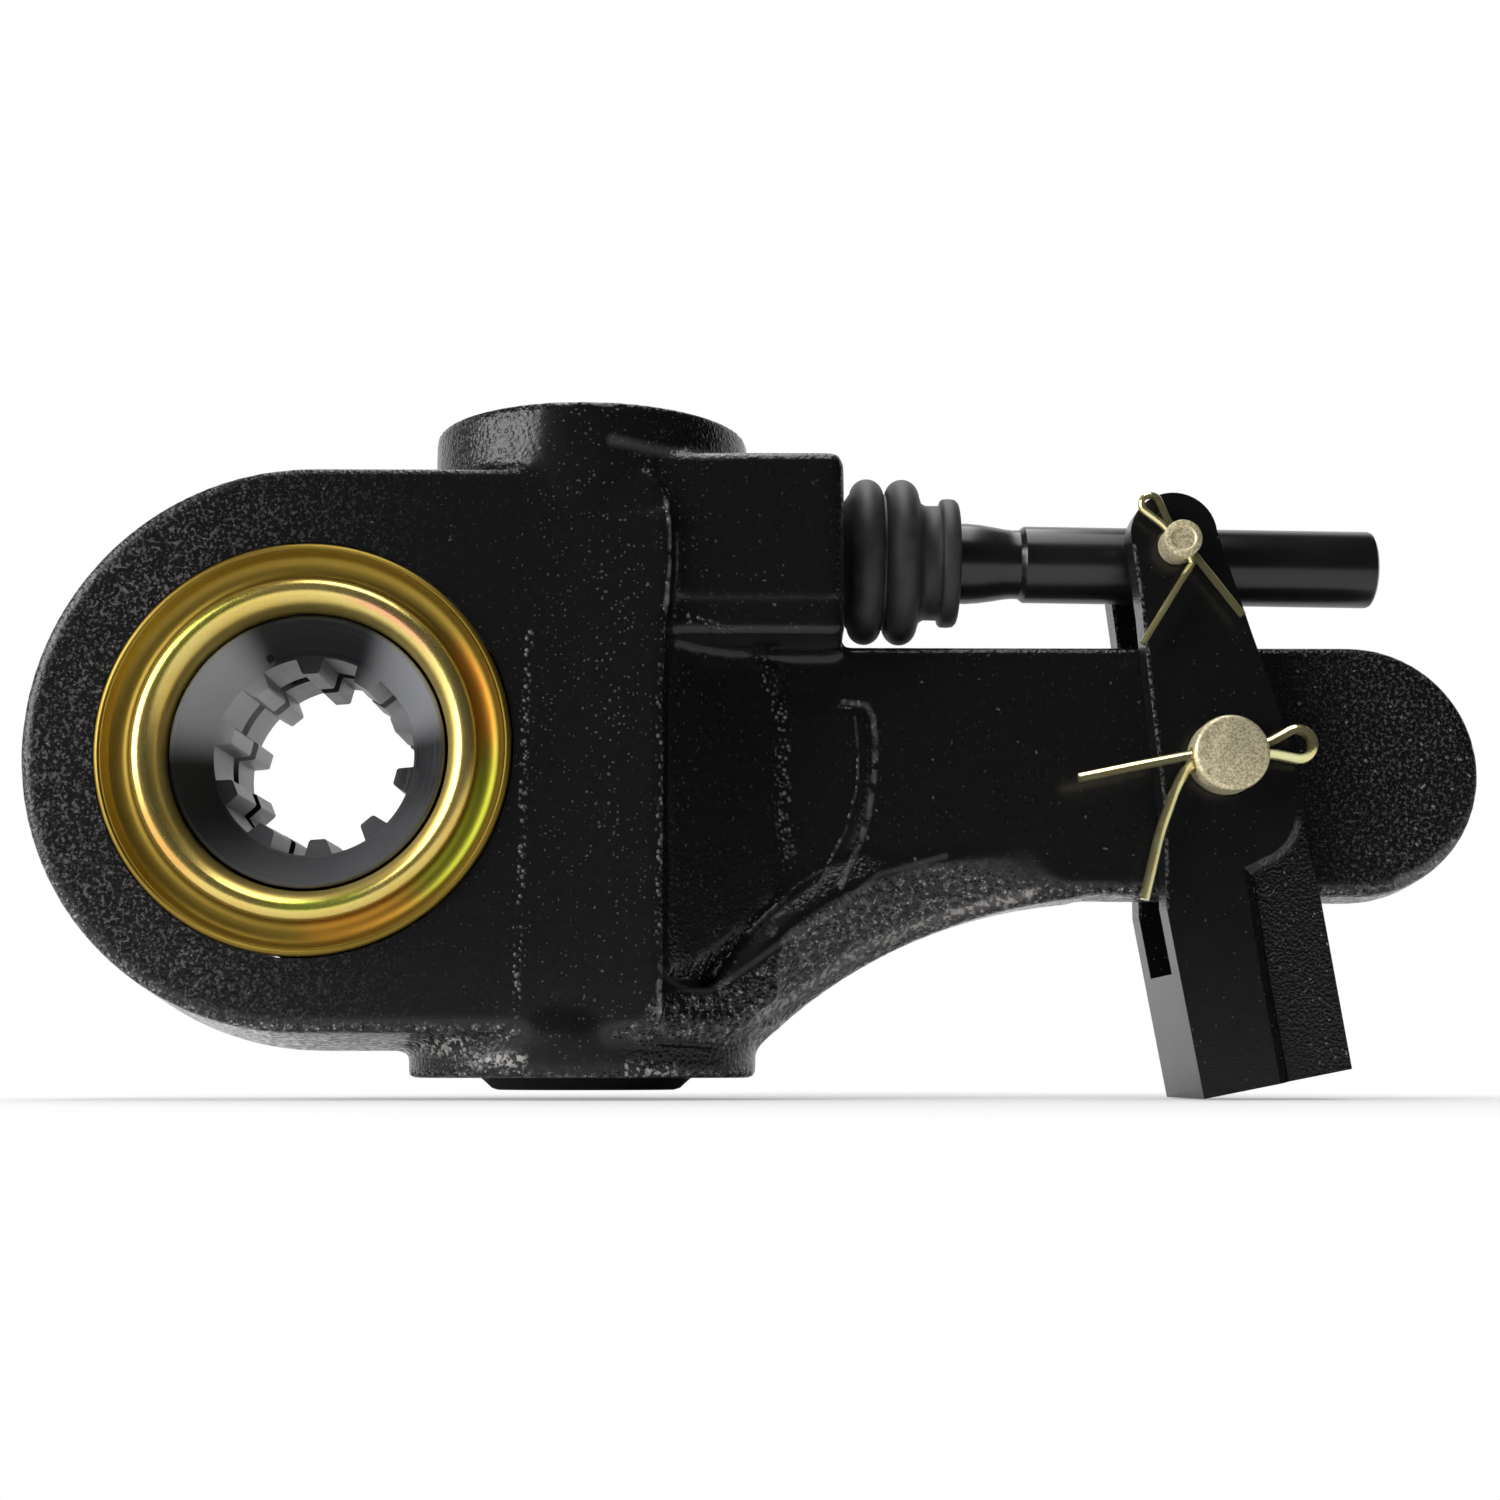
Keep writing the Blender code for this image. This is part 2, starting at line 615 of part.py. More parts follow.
def wheel_loops():
    """Sections of the toothed rim, turned along the width to follow the worm's thread."""
    root_r = WHEEL_PITCH_R - WHEEL_DEDENDUM
    tip_half = TOOTH_HALF - WHEEL_ADDENDUM * PRESSURE_TAN - 0.0001
    root_half = TOOTH_HALF + WHEEL_DEDENDUM * PRESSURE_TAN * 0.8
    corners = [(root_r, -root_half), (WHEEL_PITCH_R, -TOOTH_HALF), (WHEEL_TIP_R, -tip_half)]
    corners += [(WHEEL_TIP_R, tip_half), (WHEEL_PITCH_R, TOOTH_HALF), (root_r, root_half)]
    pitch = 2 * math.pi / WHEEL_TEETH
    loops = []
    for y in (-WHEEL_HALF_WIDTH, WHEEL_HALF_WIDTH):
        turn = -y * WORM_LEAD / (2 * math.pi * WORM_PITCH_R * WHEEL_PITCH_R)
        loop = []
        for tooth in range(WHEEL_TEETH):
            middle = (tooth + 0.5) * pitch + turn
            for radius, offset in corners:
                angle = middle + offset / radius
                loop.append((radius * math.cos(angle), y, radius * math.sin(angle)))
        loops.append(loop)
    return loops


def make_worm_wheel(steel):
    """Wheel and splined hub in one piece, with coned mouths and a groove in the splines."""
    wheel = lofted("worm_wheel", wheel_loops(), steel)
    cone_r = HUB_R - HUB_LIP
    mouth_r = SPLINE_MAJOR_R + 0.0003
    hub = cylinder(
        "worm_wheel_hub", HUB_R, -HUB_HALF_LENGTH, HUB_HALF_LENGTH, (0, 1, 0), (0, 0, 0), steel,
        LARGE_STEPS, 0.0003,
    )
    spline = prism_y("worm_wheel_spline", spline_outline(), -0.03, 0.03, steel)
    groove_r = SPLINE_MAJOR_R + SPLINE_GROOVE_DEPTH
    groove = turned(
        "worm_wheel_groove",
        [(0, SPLINE_GROOVE_FRONT), (groove_r, SPLINE_GROOVE_FRONT), (groove_r, SPLINE_GROOVE_BACK),
         (0, SPLINE_GROOVE_BACK)],
        (0, 1, 0), steel, steps=LARGE_STEPS,
    )
    cones = []
    for side, word in ((-1, "front"), (1, "rear")):
        profile = [(0, SPLINE_HALF_LENGTH), (mouth_r, SPLINE_HALF_LENGTH)]
        profile += [(cone_r, HUB_HALF_LENGTH), (cone_r, HUB_HALF_LENGTH + 0.002)]
        profile += [(0, HUB_HALF_LENGTH + 0.002)]
        cones.append(turned(f"worm_wheel_{word}_cone", profile, (0, side, 0), steel, steps=LARGE_STEPS))
    boolean(wheel, [hub], "UNION")
    boolean(wheel, [spline, groove, *cones], "DIFFERENCE")
    return wheel


def ring_profile():
    """Pressed ring from the rim inward: rim, wide channel, round roll, then the slope to the hub."""
    front = CAST_HALF_WIDTH + PAD_RISE
    rim = RING_OUTER_R
    bed = front - RING_DEPTH * 0.58
    roll_r = rim - RING_ROLL
    top = [(rim, front - RING_DEPTH - 0.0010), (rim, front - 0.0004), (rim - 0.0009, front)]
    top += [(rim - 0.0027, bed), (roll_r + 0.0028, bed), (roll_r + 0.0010, front - 0.0003)]
    top += [(roll_r - 0.0008, front - 0.0003), (RING_INNER_R, front - RING_DEPTH - 0.0008)]
    sheet = RING_SHEET
    under = [(RING_INNER_R, front - RING_DEPTH - 0.0008 - sheet), (roll_r - 0.0008, front - 0.0003 - sheet)]
    under += [(roll_r + 0.0006, front - 0.0003 - sheet), (roll_r + 0.0024, bed - sheet)]
    under += [(rim - 0.0025, bed - sheet), (rim - sheet, front - RING_DEPTH - 0.0010)]
    return top + under


def make_cover_rings(zinc, rubber):
    for side, word in ((-1, "front"), (1, "rear")):
        turned(f"{word}_cover_ring", ring_profile(), (0, side, 0), zinc, steps=LARGE_STEPS)
        middle_r = HUB_R + GAP + HUB_CORD_R
        middle_y = CAST_HALF_WIDTH + PAD_RISE - RING_DEPTH - HUB_SEAL_DEPTH
        seal = arc(middle_r, middle_y, HUB_CORD_R, 0, 288, 4)
        turned(f"{word}_hub_seal", seal, (0, side, 0), rubber)


def worm_thread(name, steel):
    """One thread of the worm, as a swept section round its core."""
    turns = 2 * WORM_HALF_LENGTH / WORM_LEAD - 0.9
    count = int(turns * WORM_STEPS)
    tip_half = TOOTH_HALF - WORM_ADDENDUM * PRESSURE_TAN
    sunk = WORM_DEDENDUM + 0.0006
    root_half = TOOTH_HALF + sunk * PRESSURE_TAN
    section = [(WORM_PITCH_R - sunk, -root_half), (WORM_TIP_R, -tip_half)]
    section += [(WORM_TIP_R, tip_half), (WORM_PITCH_R - sunk, root_half)]
    loops = []
    for index in range(count + 1):
        turn = (index - count / 2) / WORM_STEPS
        angle = math.pi + 2 * math.pi * turn
        height = WORM_LEAD * turn
        loops.append([
            (radius * math.cos(angle), radius * math.sin(angle), height + offset)
            for radius, offset in section
        ])
    return lofted(name, loops, steel, (WORM_X, 0, 0))


def hexagon(across):
    radius = across / math.sqrt(3)
    return [(radius * math.cos(a), radius * math.sin(a)) for a in (math.pi * k / 3 for k in range(6))]


def make_worm_shaft(steel):
    """Worm with its upper journal, lower journal and the adjusting hexagon."""
    low = -WORM_HALF_LENGTH
    hex_top = BOTTOM_BOSS_LOW + 0.0065
    profile = [(0, hex_top), (SHAFT_LOW_R, hex_top), (SHAFT_LOW_R, PLUG_TOP + 0.0014)]
    profile += [(WORM_ROOT_R, PLUG_TOP + 0.0018), (WORM_ROOT_R, WORM_HALF_LENGTH)]
    profile += [(SHAFT_NECK_R, WORM_HALF_LENGTH), (SHAFT_NECK_R, NECK_TOP)]
    shaft_top = TOP_BOSS_TOP - CAP_DEPTH - GAP - RUN_GAP
    profile += [(SHAFT_TOP_R, NECK_TOP), (SHAFT_TOP_R, shaft_top), (0, shaft_top)]
    shaft = turned("worm_shaft", profile, (0, 0, 1), steel, (WORM_X, 0, 0), 20)
    thread = worm_thread("worm_shaft_thread", steel)
    hexagon_end = prism_z(
        "worm_shaft_hexagon", hexagon(HEX_ACROSS), BOTTOM_BOSS_LOW - 0.0006, hex_top + 0.001,
        steel, (WORM_X, 0, 0),
    )
    boolean(shaft, [thread, hexagon_end], "UNION")
    return shaft


def washer(name, inner, outer, low, high, material, location):
    profile = [(inner, low), (outer, low), (outer, high), (inner, high)]
    return turned(name, profile, (0, 0, 1), material, location, SMALL_STEPS)


def make_worm_bearings(steel, iron, rubber):
    """Washers above and below the worm, and the plug that closes its bore."""
    center = (WORM_X, 0, 0)
    washer(
        "worm_thrust_washer", SHAFT_NECK_R + RUN_GAP, WORM_BORE_R - RUN_GAP,
        WORM_HALF_LENGTH + GAP, WORM_HALF_LENGTH + 0.0025 - GAP, steel, center,
    )
    plug_r = WORM_BORE_R - GAP
    hole_r = SHAFT_LOW_R + RUN_GAP
    lip_r = HEX_ACROSS / math.sqrt(3) + 0.0012
    disc_low = BOTTOM_BOSS_LOW - PLUG_DISC_THICKNESS
    disc_top = BOTTOM_BOSS_LOW + PLUG_RECESS
    profile = [(lip_r, disc_low), (PLUG_DISC_R - 0.0012, disc_low), (PLUG_DISC_R, BOTTOM_BOSS_LOW)]
    profile += [(plug_r, BOTTOM_BOSS_LOW + 0.0005), (plug_r, PLUG_TOP), (hole_r, PLUG_TOP)]
    profile += [(hole_r, disc_top), (lip_r, disc_top)]
    turned("bottom_plug", profile, (0, 0, 1), iron, center)
    middle_r = HEX_ACROSS / math.sqrt(3) + RUN_GAP + PLUG_CORD_R
    seal = arc(middle_r, disc_top + GAP + PLUG_CORD_R, PLUG_CORD_R, 0, 300, 5)
    turned("plug_seal", seal, (0, 0, 1), rubber, center, SMALL_STEPS)


def pinion_outline():
    """Twelve straight-sided teeth."""
    root_r = PINION_PITCH_R - PINION_MODULE * 1.15
    half = PINION_MODULE * (math.pi / 4 - 0.2)
    flank = PINION_MODULE * 0.3
    pitch = 2 * math.pi / PINION_TEETH
    points = []
    for tooth in range(PINION_TEETH):
        middle = math.pi / 2 + tooth * pitch
        for radius, offset in (
            (root_r, -half - flank), (PINION_PITCH_R, -half), (PINION_TIP_R, -half + flank),
            (PINION_TIP_R, half - flank), (PINION_PITCH_R, half), (root_r, half + flank),
        ):
            angle = middle + offset / radius
            points.append((radius * math.cos(angle), radius * math.sin(angle)))
    return points


def make_clutch_train(steel, spring_steel):
    """Pinion on the shaft's upper journal, its one-way clutch spring and the adjuster spring."""
    center = (WORM_X, 0, 0)
    pinion_low = rod_axis_z(WORM_X) - PINION_HEIGHT / 2
    pinion_high = pinion_low + PINION_HEIGHT
    pinion = prism_z("drive_pinion", pinion_outline(), pinion_low, pinion_high, steel, center)
    hub_high = pinion_high + CLUTCH_HEIGHT
    hub = cylinder(
        "drive_pinion_hub", CLUTCH_R, pinion_low + 0.001, hub_high, (0, 0, 1), center, steel, 24,
    )
    hole = cylinder(
        "drive_pinion_hole", SHAFT_TOP_R + RUN_GAP, pinion_low - 0.01, pinion_high + 0.01,
        (0, 0, 1), center, steel, 24,
    )
    boolean(pinion, [hub], "UNION")
    boolean(pinion, [hole], "DIFFERENCE")
    clutch_low = hub_high + GAP
    clutch_high = clutch_low + CLUTCH_HEIGHT
    washer("clutch_hub", SHAFT_TOP_R + GAP, CLUTCH_R, clutch_low, clutch_high, steel, center)
    coil(
        "clutch_spring", CLUTCH_R + GAP + CLUTCH_WIRE_R, CLUTCH_WIRE_R,
        pinion_high + CLUTCH_WIRE_R + RUN_GAP, clutch_high - CLUTCH_WIRE_R, 2, spring_steel, center,
    )
    cap_low = TOP_BOSS_TOP - CAP_DEPTH
    coil(
        "adjuster_spring", ADJUSTER_SPRING_R, ADJUSTER_WIRE_R, pinion_high + ADJUSTER_WIRE_R + GAP,
        cap_low - ADJUSTER_WIRE_R - GAP, 3, spring_steel, center,
    )


def coil(name, radius, wire_r, low, high, turns, material, location):
    """A spring wound from round wire between two heights of its axis."""
    steps = 12 * turns
    points = []
    for index in range(steps + 1):
        angle = 2 * math.pi * turns * index / steps
        height = low + (high - low) * index / steps
        points.append((radius * math.cos(angle), radius * math.sin(angle), height))
    return wire(name, points, wire_r, material, location)


def make_top_cap(zinc, spring_steel):
    """Domed cap in the top boss, held by a ring in front of it."""
    cap_r = TOP_BOSS_R - TOP_WALL - GAP
    low = TOP_BOSS_TOP - CAP_DEPTH
    high = low + CAP_THICKNESS
    profile = [(0, low), (cap_r, low), (cap_r, high), (cap_r * 0.72, high)]
    profile += [(cap_r * 0.65, low + CAP_THICKNESS * 1.7), (0, low + CAP_THICKNESS * 1.9)]
    turned("top_cap", profile, (0, 0, 1), zinc, (WORM_X, 0, 0))
    ring_low = high + GAP
    ring_high = ring_low + CAP_THICKNESS * 0.67
    outline = arc(0, 0, cap_r, 14, 346, 22) + arc(0, 0, cap_r * 0.89, 346, 14, 22)
    prism_z("cap_retaining_ring", outline, ring_low, ring_high, spring_steel, (WORM_X, 0, 0))


def make_rack(steel):
    """Rack beside the pinion, with a fork on its right end for the link rod's eye."""
    middle = rod_axis_z(ROD_JOINT_X)
    pitch_y = PINION_PITCH_R
    root_y = pitch_y + PINION_MODULE * 1.15
    tip_y = pitch_y - PINION_MODULE * 0.85
    back_y = root_y + RACK_THICKNESS
    step = math.pi * PINION_MODULE
    half = step / 4 - PINION_MODULE * 0.2
    flank = PINION_MODULE * 0.3
    base = half + flank
    slot_left = ROD_JOINT_X - EYE_R - GAP
    first = math.ceil((RACK_LEFT + base + GAP - WORM_X) / step + 0.5)
    last = math.floor((FORK_LEFT - base - GAP - WORM_X) / step + 0.5)
    outline = [(RACK_LEFT, back_y), (RACK_LEFT, root_y)]
    for tooth in range(first, last + 1):
        x = WORM_X + step * (tooth - 0.5)
        outline += [(x - base, root_y), (x - half + flank, tip_y)]
        outline += [(x + half - flank, tip_y), (x + base, root_y)]
    tine = EYE_HALF_WIDTH + GAP
    outline += [(FORK_LEFT, root_y), (FORK_LEFT, -FORK_HALF_WIDTH), (FORK_RIGHT, -FORK_HALF_WIDTH)]
    outline += [(FORK_RIGHT, -tine), (slot_left, -tine), (slot_left, tine)]
    outline += [(FORK_RIGHT, tine), (FORK_RIGHT, back_y)]
    rack = prism_z("rack", outline, middle - RACK_HALF_HEIGHT, middle + RACK_HALF_HEIGHT, steel)
    hole = cylinder(
        "rack_hole", RACK_PIN_R + GAP, -0.02, 0.02, (0, 1, 0), (ROD_JOINT_X, 0, middle), steel, 20,
    )
    boolean(rack, [hole], "DIFFERENCE")
    cylinder(
        "rack_pin", RACK_PIN_R, -FORK_HALF_WIDTH + GAP, back_y - GAP, (0, 1, 0),
        (ROD_JOINT_X, 0, middle), steel, 20,
    )
    return rack


def make_link_rod(steel, rubber):
    """Rod from the rack's fork to the small pin, and the boot that seals it."""
    joint = pivot("rod_pivot", (ROD_JOINT_X, 0, rod_axis_z(ROD_JOINT_X)), ROD_TILT)
    slant = math.cos(ROD_TILT)
    length = (ROD_END_X - ROD_JOINT_X) / slant
    shoulder = EYE_R + 0.0010
    step = (ROD_STEP_X - ROD_JOINT_X) / slant
    waist = step + 0.0030
    profile = [(0, shoulder), (ROD_SHOULDER_R - 0.0015, shoulder)]
    profile += [(ROD_SHOULDER_R, shoulder + 0.0015)]
    profile += [(ROD_SHOULDER_R, step - 0.009), (ROD_R - 0.0004, step - 0.002)]
    profile += [(ROD_R - 0.0006, step), (ROD_R, waist), (ROD_R, length - 0.0008)]
    profile += [(ROD_R - 0.0008, length), (0, length)]
    rod = turned("link_rod", profile, (1, 0, 0), steel, steps=20)
    eye_shape = eye_outline(EYE_R, shoulder + 0.002)
    eye = prism_y("link_rod_eye", eye_shape, -EYE_HALF_WIDTH, EYE_HALF_WIDTH, steel)
    eye_hole = cylinder(
        "link_rod_eye_hole", RACK_PIN_R + GAP, -0.02, 0.02, (0, 1, 0), (0, 0, 0), steel, 20,
    )
    pin_at = (ARM_LENGTH + PIN_SPACING * math.sin(CLEVIS_LEAN) - ROD_JOINT_X) / slant
    pin_hole = cylinder(
        "link_rod_pin_hole", SMALL_PIN_R + ROD_SWING, -0.02, 0.02, (0, 1, 0), (pin_at, 0, 0), steel,
        SMALL_STEPS,
    )
    boolean(rod, [eye], "UNION")
    boolean(rod, [eye_hole, pin_hole], "DIFFERENCE")
    for piece in (rod, eye, eye_hole, pin_hole):
        piece.parent = joint
    boot = turned("rod_boot", boot_profile(), (1, 0, 0), rubber, steps=20)
    boot.location = (BLOCK_RIGHT, 0, rod_axis_z(BLOCK_RIGHT))
    boot.rotation_euler = (0, ROD_TILT, 0)


def eye_outline(radius, reach):
    points = arc(0, 0, radius, 60, 300, 14)
    return points + [(reach, -radius * 0.86), (reach, radius * 0.86)]


def boot_profile():
    """Two round folds, a straight cuff and a rolled lip, as one thin wall."""
    inner = ROD_SHOULDER_R + GAP
    length = BOOT_RIGHT - BLOCK_RIGHT
    fold_half = 0.0029
    first = GAP + 0.0014 + fold_half
    second = first + 2 * fold_half + 0.0002
    crest = BOOT_FOLD_R - fold_half
    outer = [(inner + 0.0012, GAP), (crest - 0.0012, GAP)]
    for middle in (first, second):
        outer += [
            (crest + fold_half * math.sin(angle), middle - fold_half * math.cos(angle))
            for angle in (math.radians(a) for a in (25, 68, 112, 155))
        ]
    cuff_start = second + fold_half
    lip = length - 0.0032
    outer += [(BOOT_CUFF_R, cuff_start), (BOOT_CUFF_R, lip), (BOOT_LIP_R, lip + 0.0004)]
    outer += [(BOOT_LIP_R, length - 0.0004), (BOOT_LIP_R - 0.0006, length), (inner, length)]
    return outer + [(inner, cuff_start - 0.001), (inner + 0.0012, first)]


def clevis_outline():
    """Side view of the clevis about its large pin: tapered ears over an offset block."""
    tip_r = 0.0074
    points = arc(0, PIN_SPACING, tip_r, 0, 180, 12)
    points += [(-0.0095, 0.0180), (-0.0110, 0.0), (-0.0150, -0.0215), (-0.0159, CLEVIS_BOTTOM)]
    points += [(0.0096, CLEVIS_BOTTOM), (0.0110, -0.0266), (0.0106, -0.0180)]
    points += [(0.0112, -0.0080), (0.0108, 0.0), (0.0097, 0.0180)]
    return points


def recess_outline():
    """The lower right corner of each side face lies lower than the ear beside it."""
    beyond = 0.02
    points = [(beyond, -0.0105), (beyond, CLEVIS_BOTTOM - 0.005), (-0.0012, CLEVIS_BOTTOM - 0.005)]
    points += [(0.0012, -0.0240)]
    points += arc(0.0062, -0.0215, 0.0052, 200, 110, 5)
    points += [(0.0100, -0.0130)]
    return points


def make_clevis(iron, zinc):
    joint = pivot("clevis_pivot", (ARM_LENGTH, 0, 0), CLEVIS_LEAN)
    clevis = prism_y("clevis", clevis_outline(), -CLEVIS_HALF_WIDTH, CLEVIS_HALF_WIDTH, iron)
    slot = box(
        "clevis_slot", (-0.03, -CLEVIS_GAP_HALF, CLEVIS_SLOT_LOW),
        (0.03, CLEVIS_GAP_HALF, PIN_SPACING + 0.02), iron,
    )
    recesses = []
    for side, word in ((-1, "front"), (1, "rear")):
        face = CLEVIS_HALF_WIDTH - CLEVIS_RECESS
        ends = sorted((side * face, side * (face + 0.01)))
        recesses.append(prism_y(f"clevis_{word}_recess", recess_outline(), *ends, iron))
    stud_hole = cylinder(
        "clevis_stud_hole", STUD_HOLE_R, CLEVIS_BOTTOM - 0.01, CLEVIS_SLOT_LOW + 0.01,
        (0, 0, 1), (STUD_HOLE_X, 0, 0), iron, 24,
    )
    large_hole = cylinder(
        "clevis_large_hole", LARGE_PIN_R + GAP, -0.03, 0.03, (0, 1, 0), (0, 0, 0), iron, 24,
    )
    small_hole = cylinder(
        "clevis_small_hole", SMALL_PIN_R + GAP, -0.03, 0.03, (0, 1, 0), (0, 0, PIN_SPACING), iron,
        SMALL_STEPS,
    )
    tools = [slot, *recesses, stud_hole, large_hole, small_hole]
    boolean(clevis, tools, "DIFFERENCE")
    pins = [
        make_pin("large_clevis_pin", LARGE_PIN_R, LARGE_HEAD_R, 0.0012, LARGE_WIRE_R, 0.0,
                 LARGE_COTTER_ANGLE, zinc),
        make_pin("small_clevis_pin", SMALL_PIN_R, SMALL_HEAD_R, 0.0005, SMALL_WIRE_R, PIN_SPACING,
                 SMALL_COTTER_ANGLE, zinc),
    ]
    cotters = [
        make_cotter("large_cotter_pin", large_cotter_shape(), LARGE_PIN_R, LARGE_WIRE_R, 0.0,
                    LARGE_COTTER_ANGLE, zinc),
        make_cotter("small_cotter_pin", small_cotter_shape(), SMALL_PIN_R, SMALL_WIRE_R, PIN_SPACING,
                    SMALL_COTTER_ANGLE, zinc),
    ]
    pieces = [clevis, *tools, *cotters]
    for pin in pins:
        pieces += pin
    for piece in pieces:
        piece.parent = joint


def make_pin(name, radius, head_r, chamfer, wire_r, height, angle, zinc):
    """Headed pin along Y with a cross hole near its plain front end."""
    head = CLEVIS_HALF_WIDTH + GAP
    profile = [(0, PIN_FRONT), (radius - chamfer, PIN_FRONT), (radius, PIN_FRONT + chamfer)]
    profile += [(radius, head), (head_r, head), (head_r, head + HEAD_THICKNESS - 0.0005)]
    profile += [(head_r - 0.0005, head + HEAD_THICKNESS), (0, head + HEAD_THICKNESS)]
    pin = turned(name, profile, (0, 1, 0), zinc, (0, 0, height), 24)
    direction = (math.cos(angle), 0, math.sin(angle))
    hole = cylinder(
        f"{name}_hole", 2 * wire_r + GAP, -radius * 2, radius * 2, direction, (0, COTTER_Y, height),
        zinc, 12,
    )
    boolean(pin, [hole], "DIFFERENCE")
    return [pin, hole]


def large_cotter_shape():
    """Eye and bend points of each leg, along and across the hole, in radii of the pin."""
    upper = [(-1.13, 0.0), (-4.0, -0.16)]
    lower = [(-1.13, 0.0), (-1.54, -0.57), (-2.14, -1.64), (-2.84, -3.28)]
    return (1.06, 1.76, 0.45, 0.38), upper, lower


def small_cotter_shape():
    upper = [(1.26, 0.0), (5.10, 0.0)]
    lower = [(1.26, 0.0), (1.48, -0.63), (3.09, -4.85)]
    return (-1.26, -2.42, 0.58, 0.48), upper, lower


def make_cotter(name, shape, pin_r, wire_r, height, angle, zinc):
    """Split pin: an eye of folded wire and two legs through the hole, bent apart."""
    eye, upper, lower = shape
    eye_start, middle, eye_long, eye_half = (size * pin_r for size in eye)
    split = wire_r + 0.0001
    side = 1 if eye_start > 0 else -1
    points = [(along * pin_r, across * pin_r + split) for along, across in reversed(upper)]
    points.append((eye_start, split))
    for degrees in range(140, -141, -28):
        turn = math.radians(degrees)
        points.append((middle + side * eye_long * math.cos(turn), eye_half * math.sin(turn)))
    points.append((eye_start, -split))
    points += [(along * pin_r, across * pin_r - split) for along, across in lower]
    cos, sin = math.cos(angle), math.sin(angle)
    path = [(along * cos - across * sin, 0, along * sin + across * cos) for along, across in points]
    return wire(name, path, wire_r, zinc, (0, COTTER_Y, height))


def make_fittings(steel, rubber):
    """Grease fitting and pressure relief plug on the rear of the worm housing."""
    face = CAST_HALF_WIDTH + PAD_RISE + GAP
    inside = WORM_BORE_R + 0.001
    profile = [(0, inside), (FITTING_THREAD_R, inside), (FITTING_THREAD_R, face)]
    for wide, along in (
        (1.0, 0.0), (1.0, 0.30), (0.65, 0.35), (0.58, 0.65), (0.69, 0.78), (0.65, 0.90), (0.35, 1.0),
        (0.0, 1.0),
    ):
        profile.append((FITTING_HEX_R * wide, face + FITTING_LENGTH * along))
    turned("grease_fitting", profile, (0, 1, 0), steel, (FITTING_X, 0, FITTING_Z), SMALL_STEPS)
    profile = [(0, inside), (RELIEF_THREAD_R, inside), (RELIEF_THREAD_R, face)]
    for wide, along in ((1.0, 0.0), (1.0, 0.59), (0.81, 0.94), (0.0, 1.0)):
        profile.append((RELIEF_HEAD_R * wide, face + RELIEF_LENGTH * along))
    turned("relief_plug", profile, (0, 1, 0), rubber, (FITTING_X, 0, RELIEF_Z), SMALL_STEPS)


def make_arm_bushing(steel):
    inner = LARGE_PIN_R + RUN_GAP
    half = ARM_HALF_WIDTH + 0.0002
    profile = [(inner, -half), (inner + BUSH_WALL, -half), (inner + BUSH_WALL, half), (inner, half)]
    turned("arm_bushing", profile, (0, 1, 0), steel, (ARM_LENGTH, 0, 0), 24)


def build():
    clear_scene()
    iron = make_material("black_painted_iron", (0.012, 0.012, 0.013), 0.42, 0.0)
    clevis_iron = make_material("black_clevis", (0.010, 0.010, 0.011), 0.38, 0.0)
    oxide = make_material("black_oxide_steel", (0.020, 0.020, 0.022), 0.34, 0.8)
    steel = make_material("bright_steel", (0.45, 0.45, 0.46), 0.35, 1.0)
    spring_steel = make_material("spring_steel", (0.22, 0.22, 0.24), 0.40, 1.0)
    zinc = make_material("yellow_zinc", (0.62, 0.44, 0.12), 0.25, 1.0)
    pale_zinc = make_material("pale_zinc", (0.62, 0.57, 0.42), 0.38, 1.0)
    rubber = make_material("black_rubber", (0.025, 0.025, 0.026), 0.55, 0.0)
    make_housing(iron)
    make_arm_bushing(steel)
    make_worm_wheel(oxide)
    make_cover_rings(zinc, rubber)
    make_worm_shaft(steel)
    make_worm_bearings(steel, oxide, rubber)
    make_clutch_train(steel, spring_steel)
    make_top_cap(oxide, spring_steel)
    make_rack(steel)
    make_link_rod(oxide, rubber)
    make_clevis(clevis_iron, pale_zinc)
    make_fittings(steel, rubber)


build()
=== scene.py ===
"""Automatic brake slack adjuster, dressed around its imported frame."""

import math

import bmesh
import bpy
from mathutils import Matrix, Vector


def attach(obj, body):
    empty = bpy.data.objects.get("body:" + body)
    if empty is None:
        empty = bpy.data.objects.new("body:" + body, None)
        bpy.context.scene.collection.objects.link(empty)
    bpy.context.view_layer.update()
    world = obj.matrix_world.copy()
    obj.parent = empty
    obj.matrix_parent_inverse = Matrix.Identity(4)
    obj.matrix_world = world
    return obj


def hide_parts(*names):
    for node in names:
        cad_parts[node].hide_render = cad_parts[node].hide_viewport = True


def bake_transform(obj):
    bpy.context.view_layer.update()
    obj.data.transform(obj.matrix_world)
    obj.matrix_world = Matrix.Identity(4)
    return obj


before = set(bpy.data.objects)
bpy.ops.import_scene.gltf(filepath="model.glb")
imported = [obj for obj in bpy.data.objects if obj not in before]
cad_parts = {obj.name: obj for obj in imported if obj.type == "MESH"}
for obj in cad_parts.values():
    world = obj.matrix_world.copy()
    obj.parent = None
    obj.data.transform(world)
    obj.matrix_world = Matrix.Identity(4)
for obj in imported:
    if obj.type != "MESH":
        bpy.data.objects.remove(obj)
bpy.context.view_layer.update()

# Housing and arm: one iron casting, drafted both ways from a parting line at y = 0.
# It is cast rough, with soft corners and fillets, then bored and painted black.


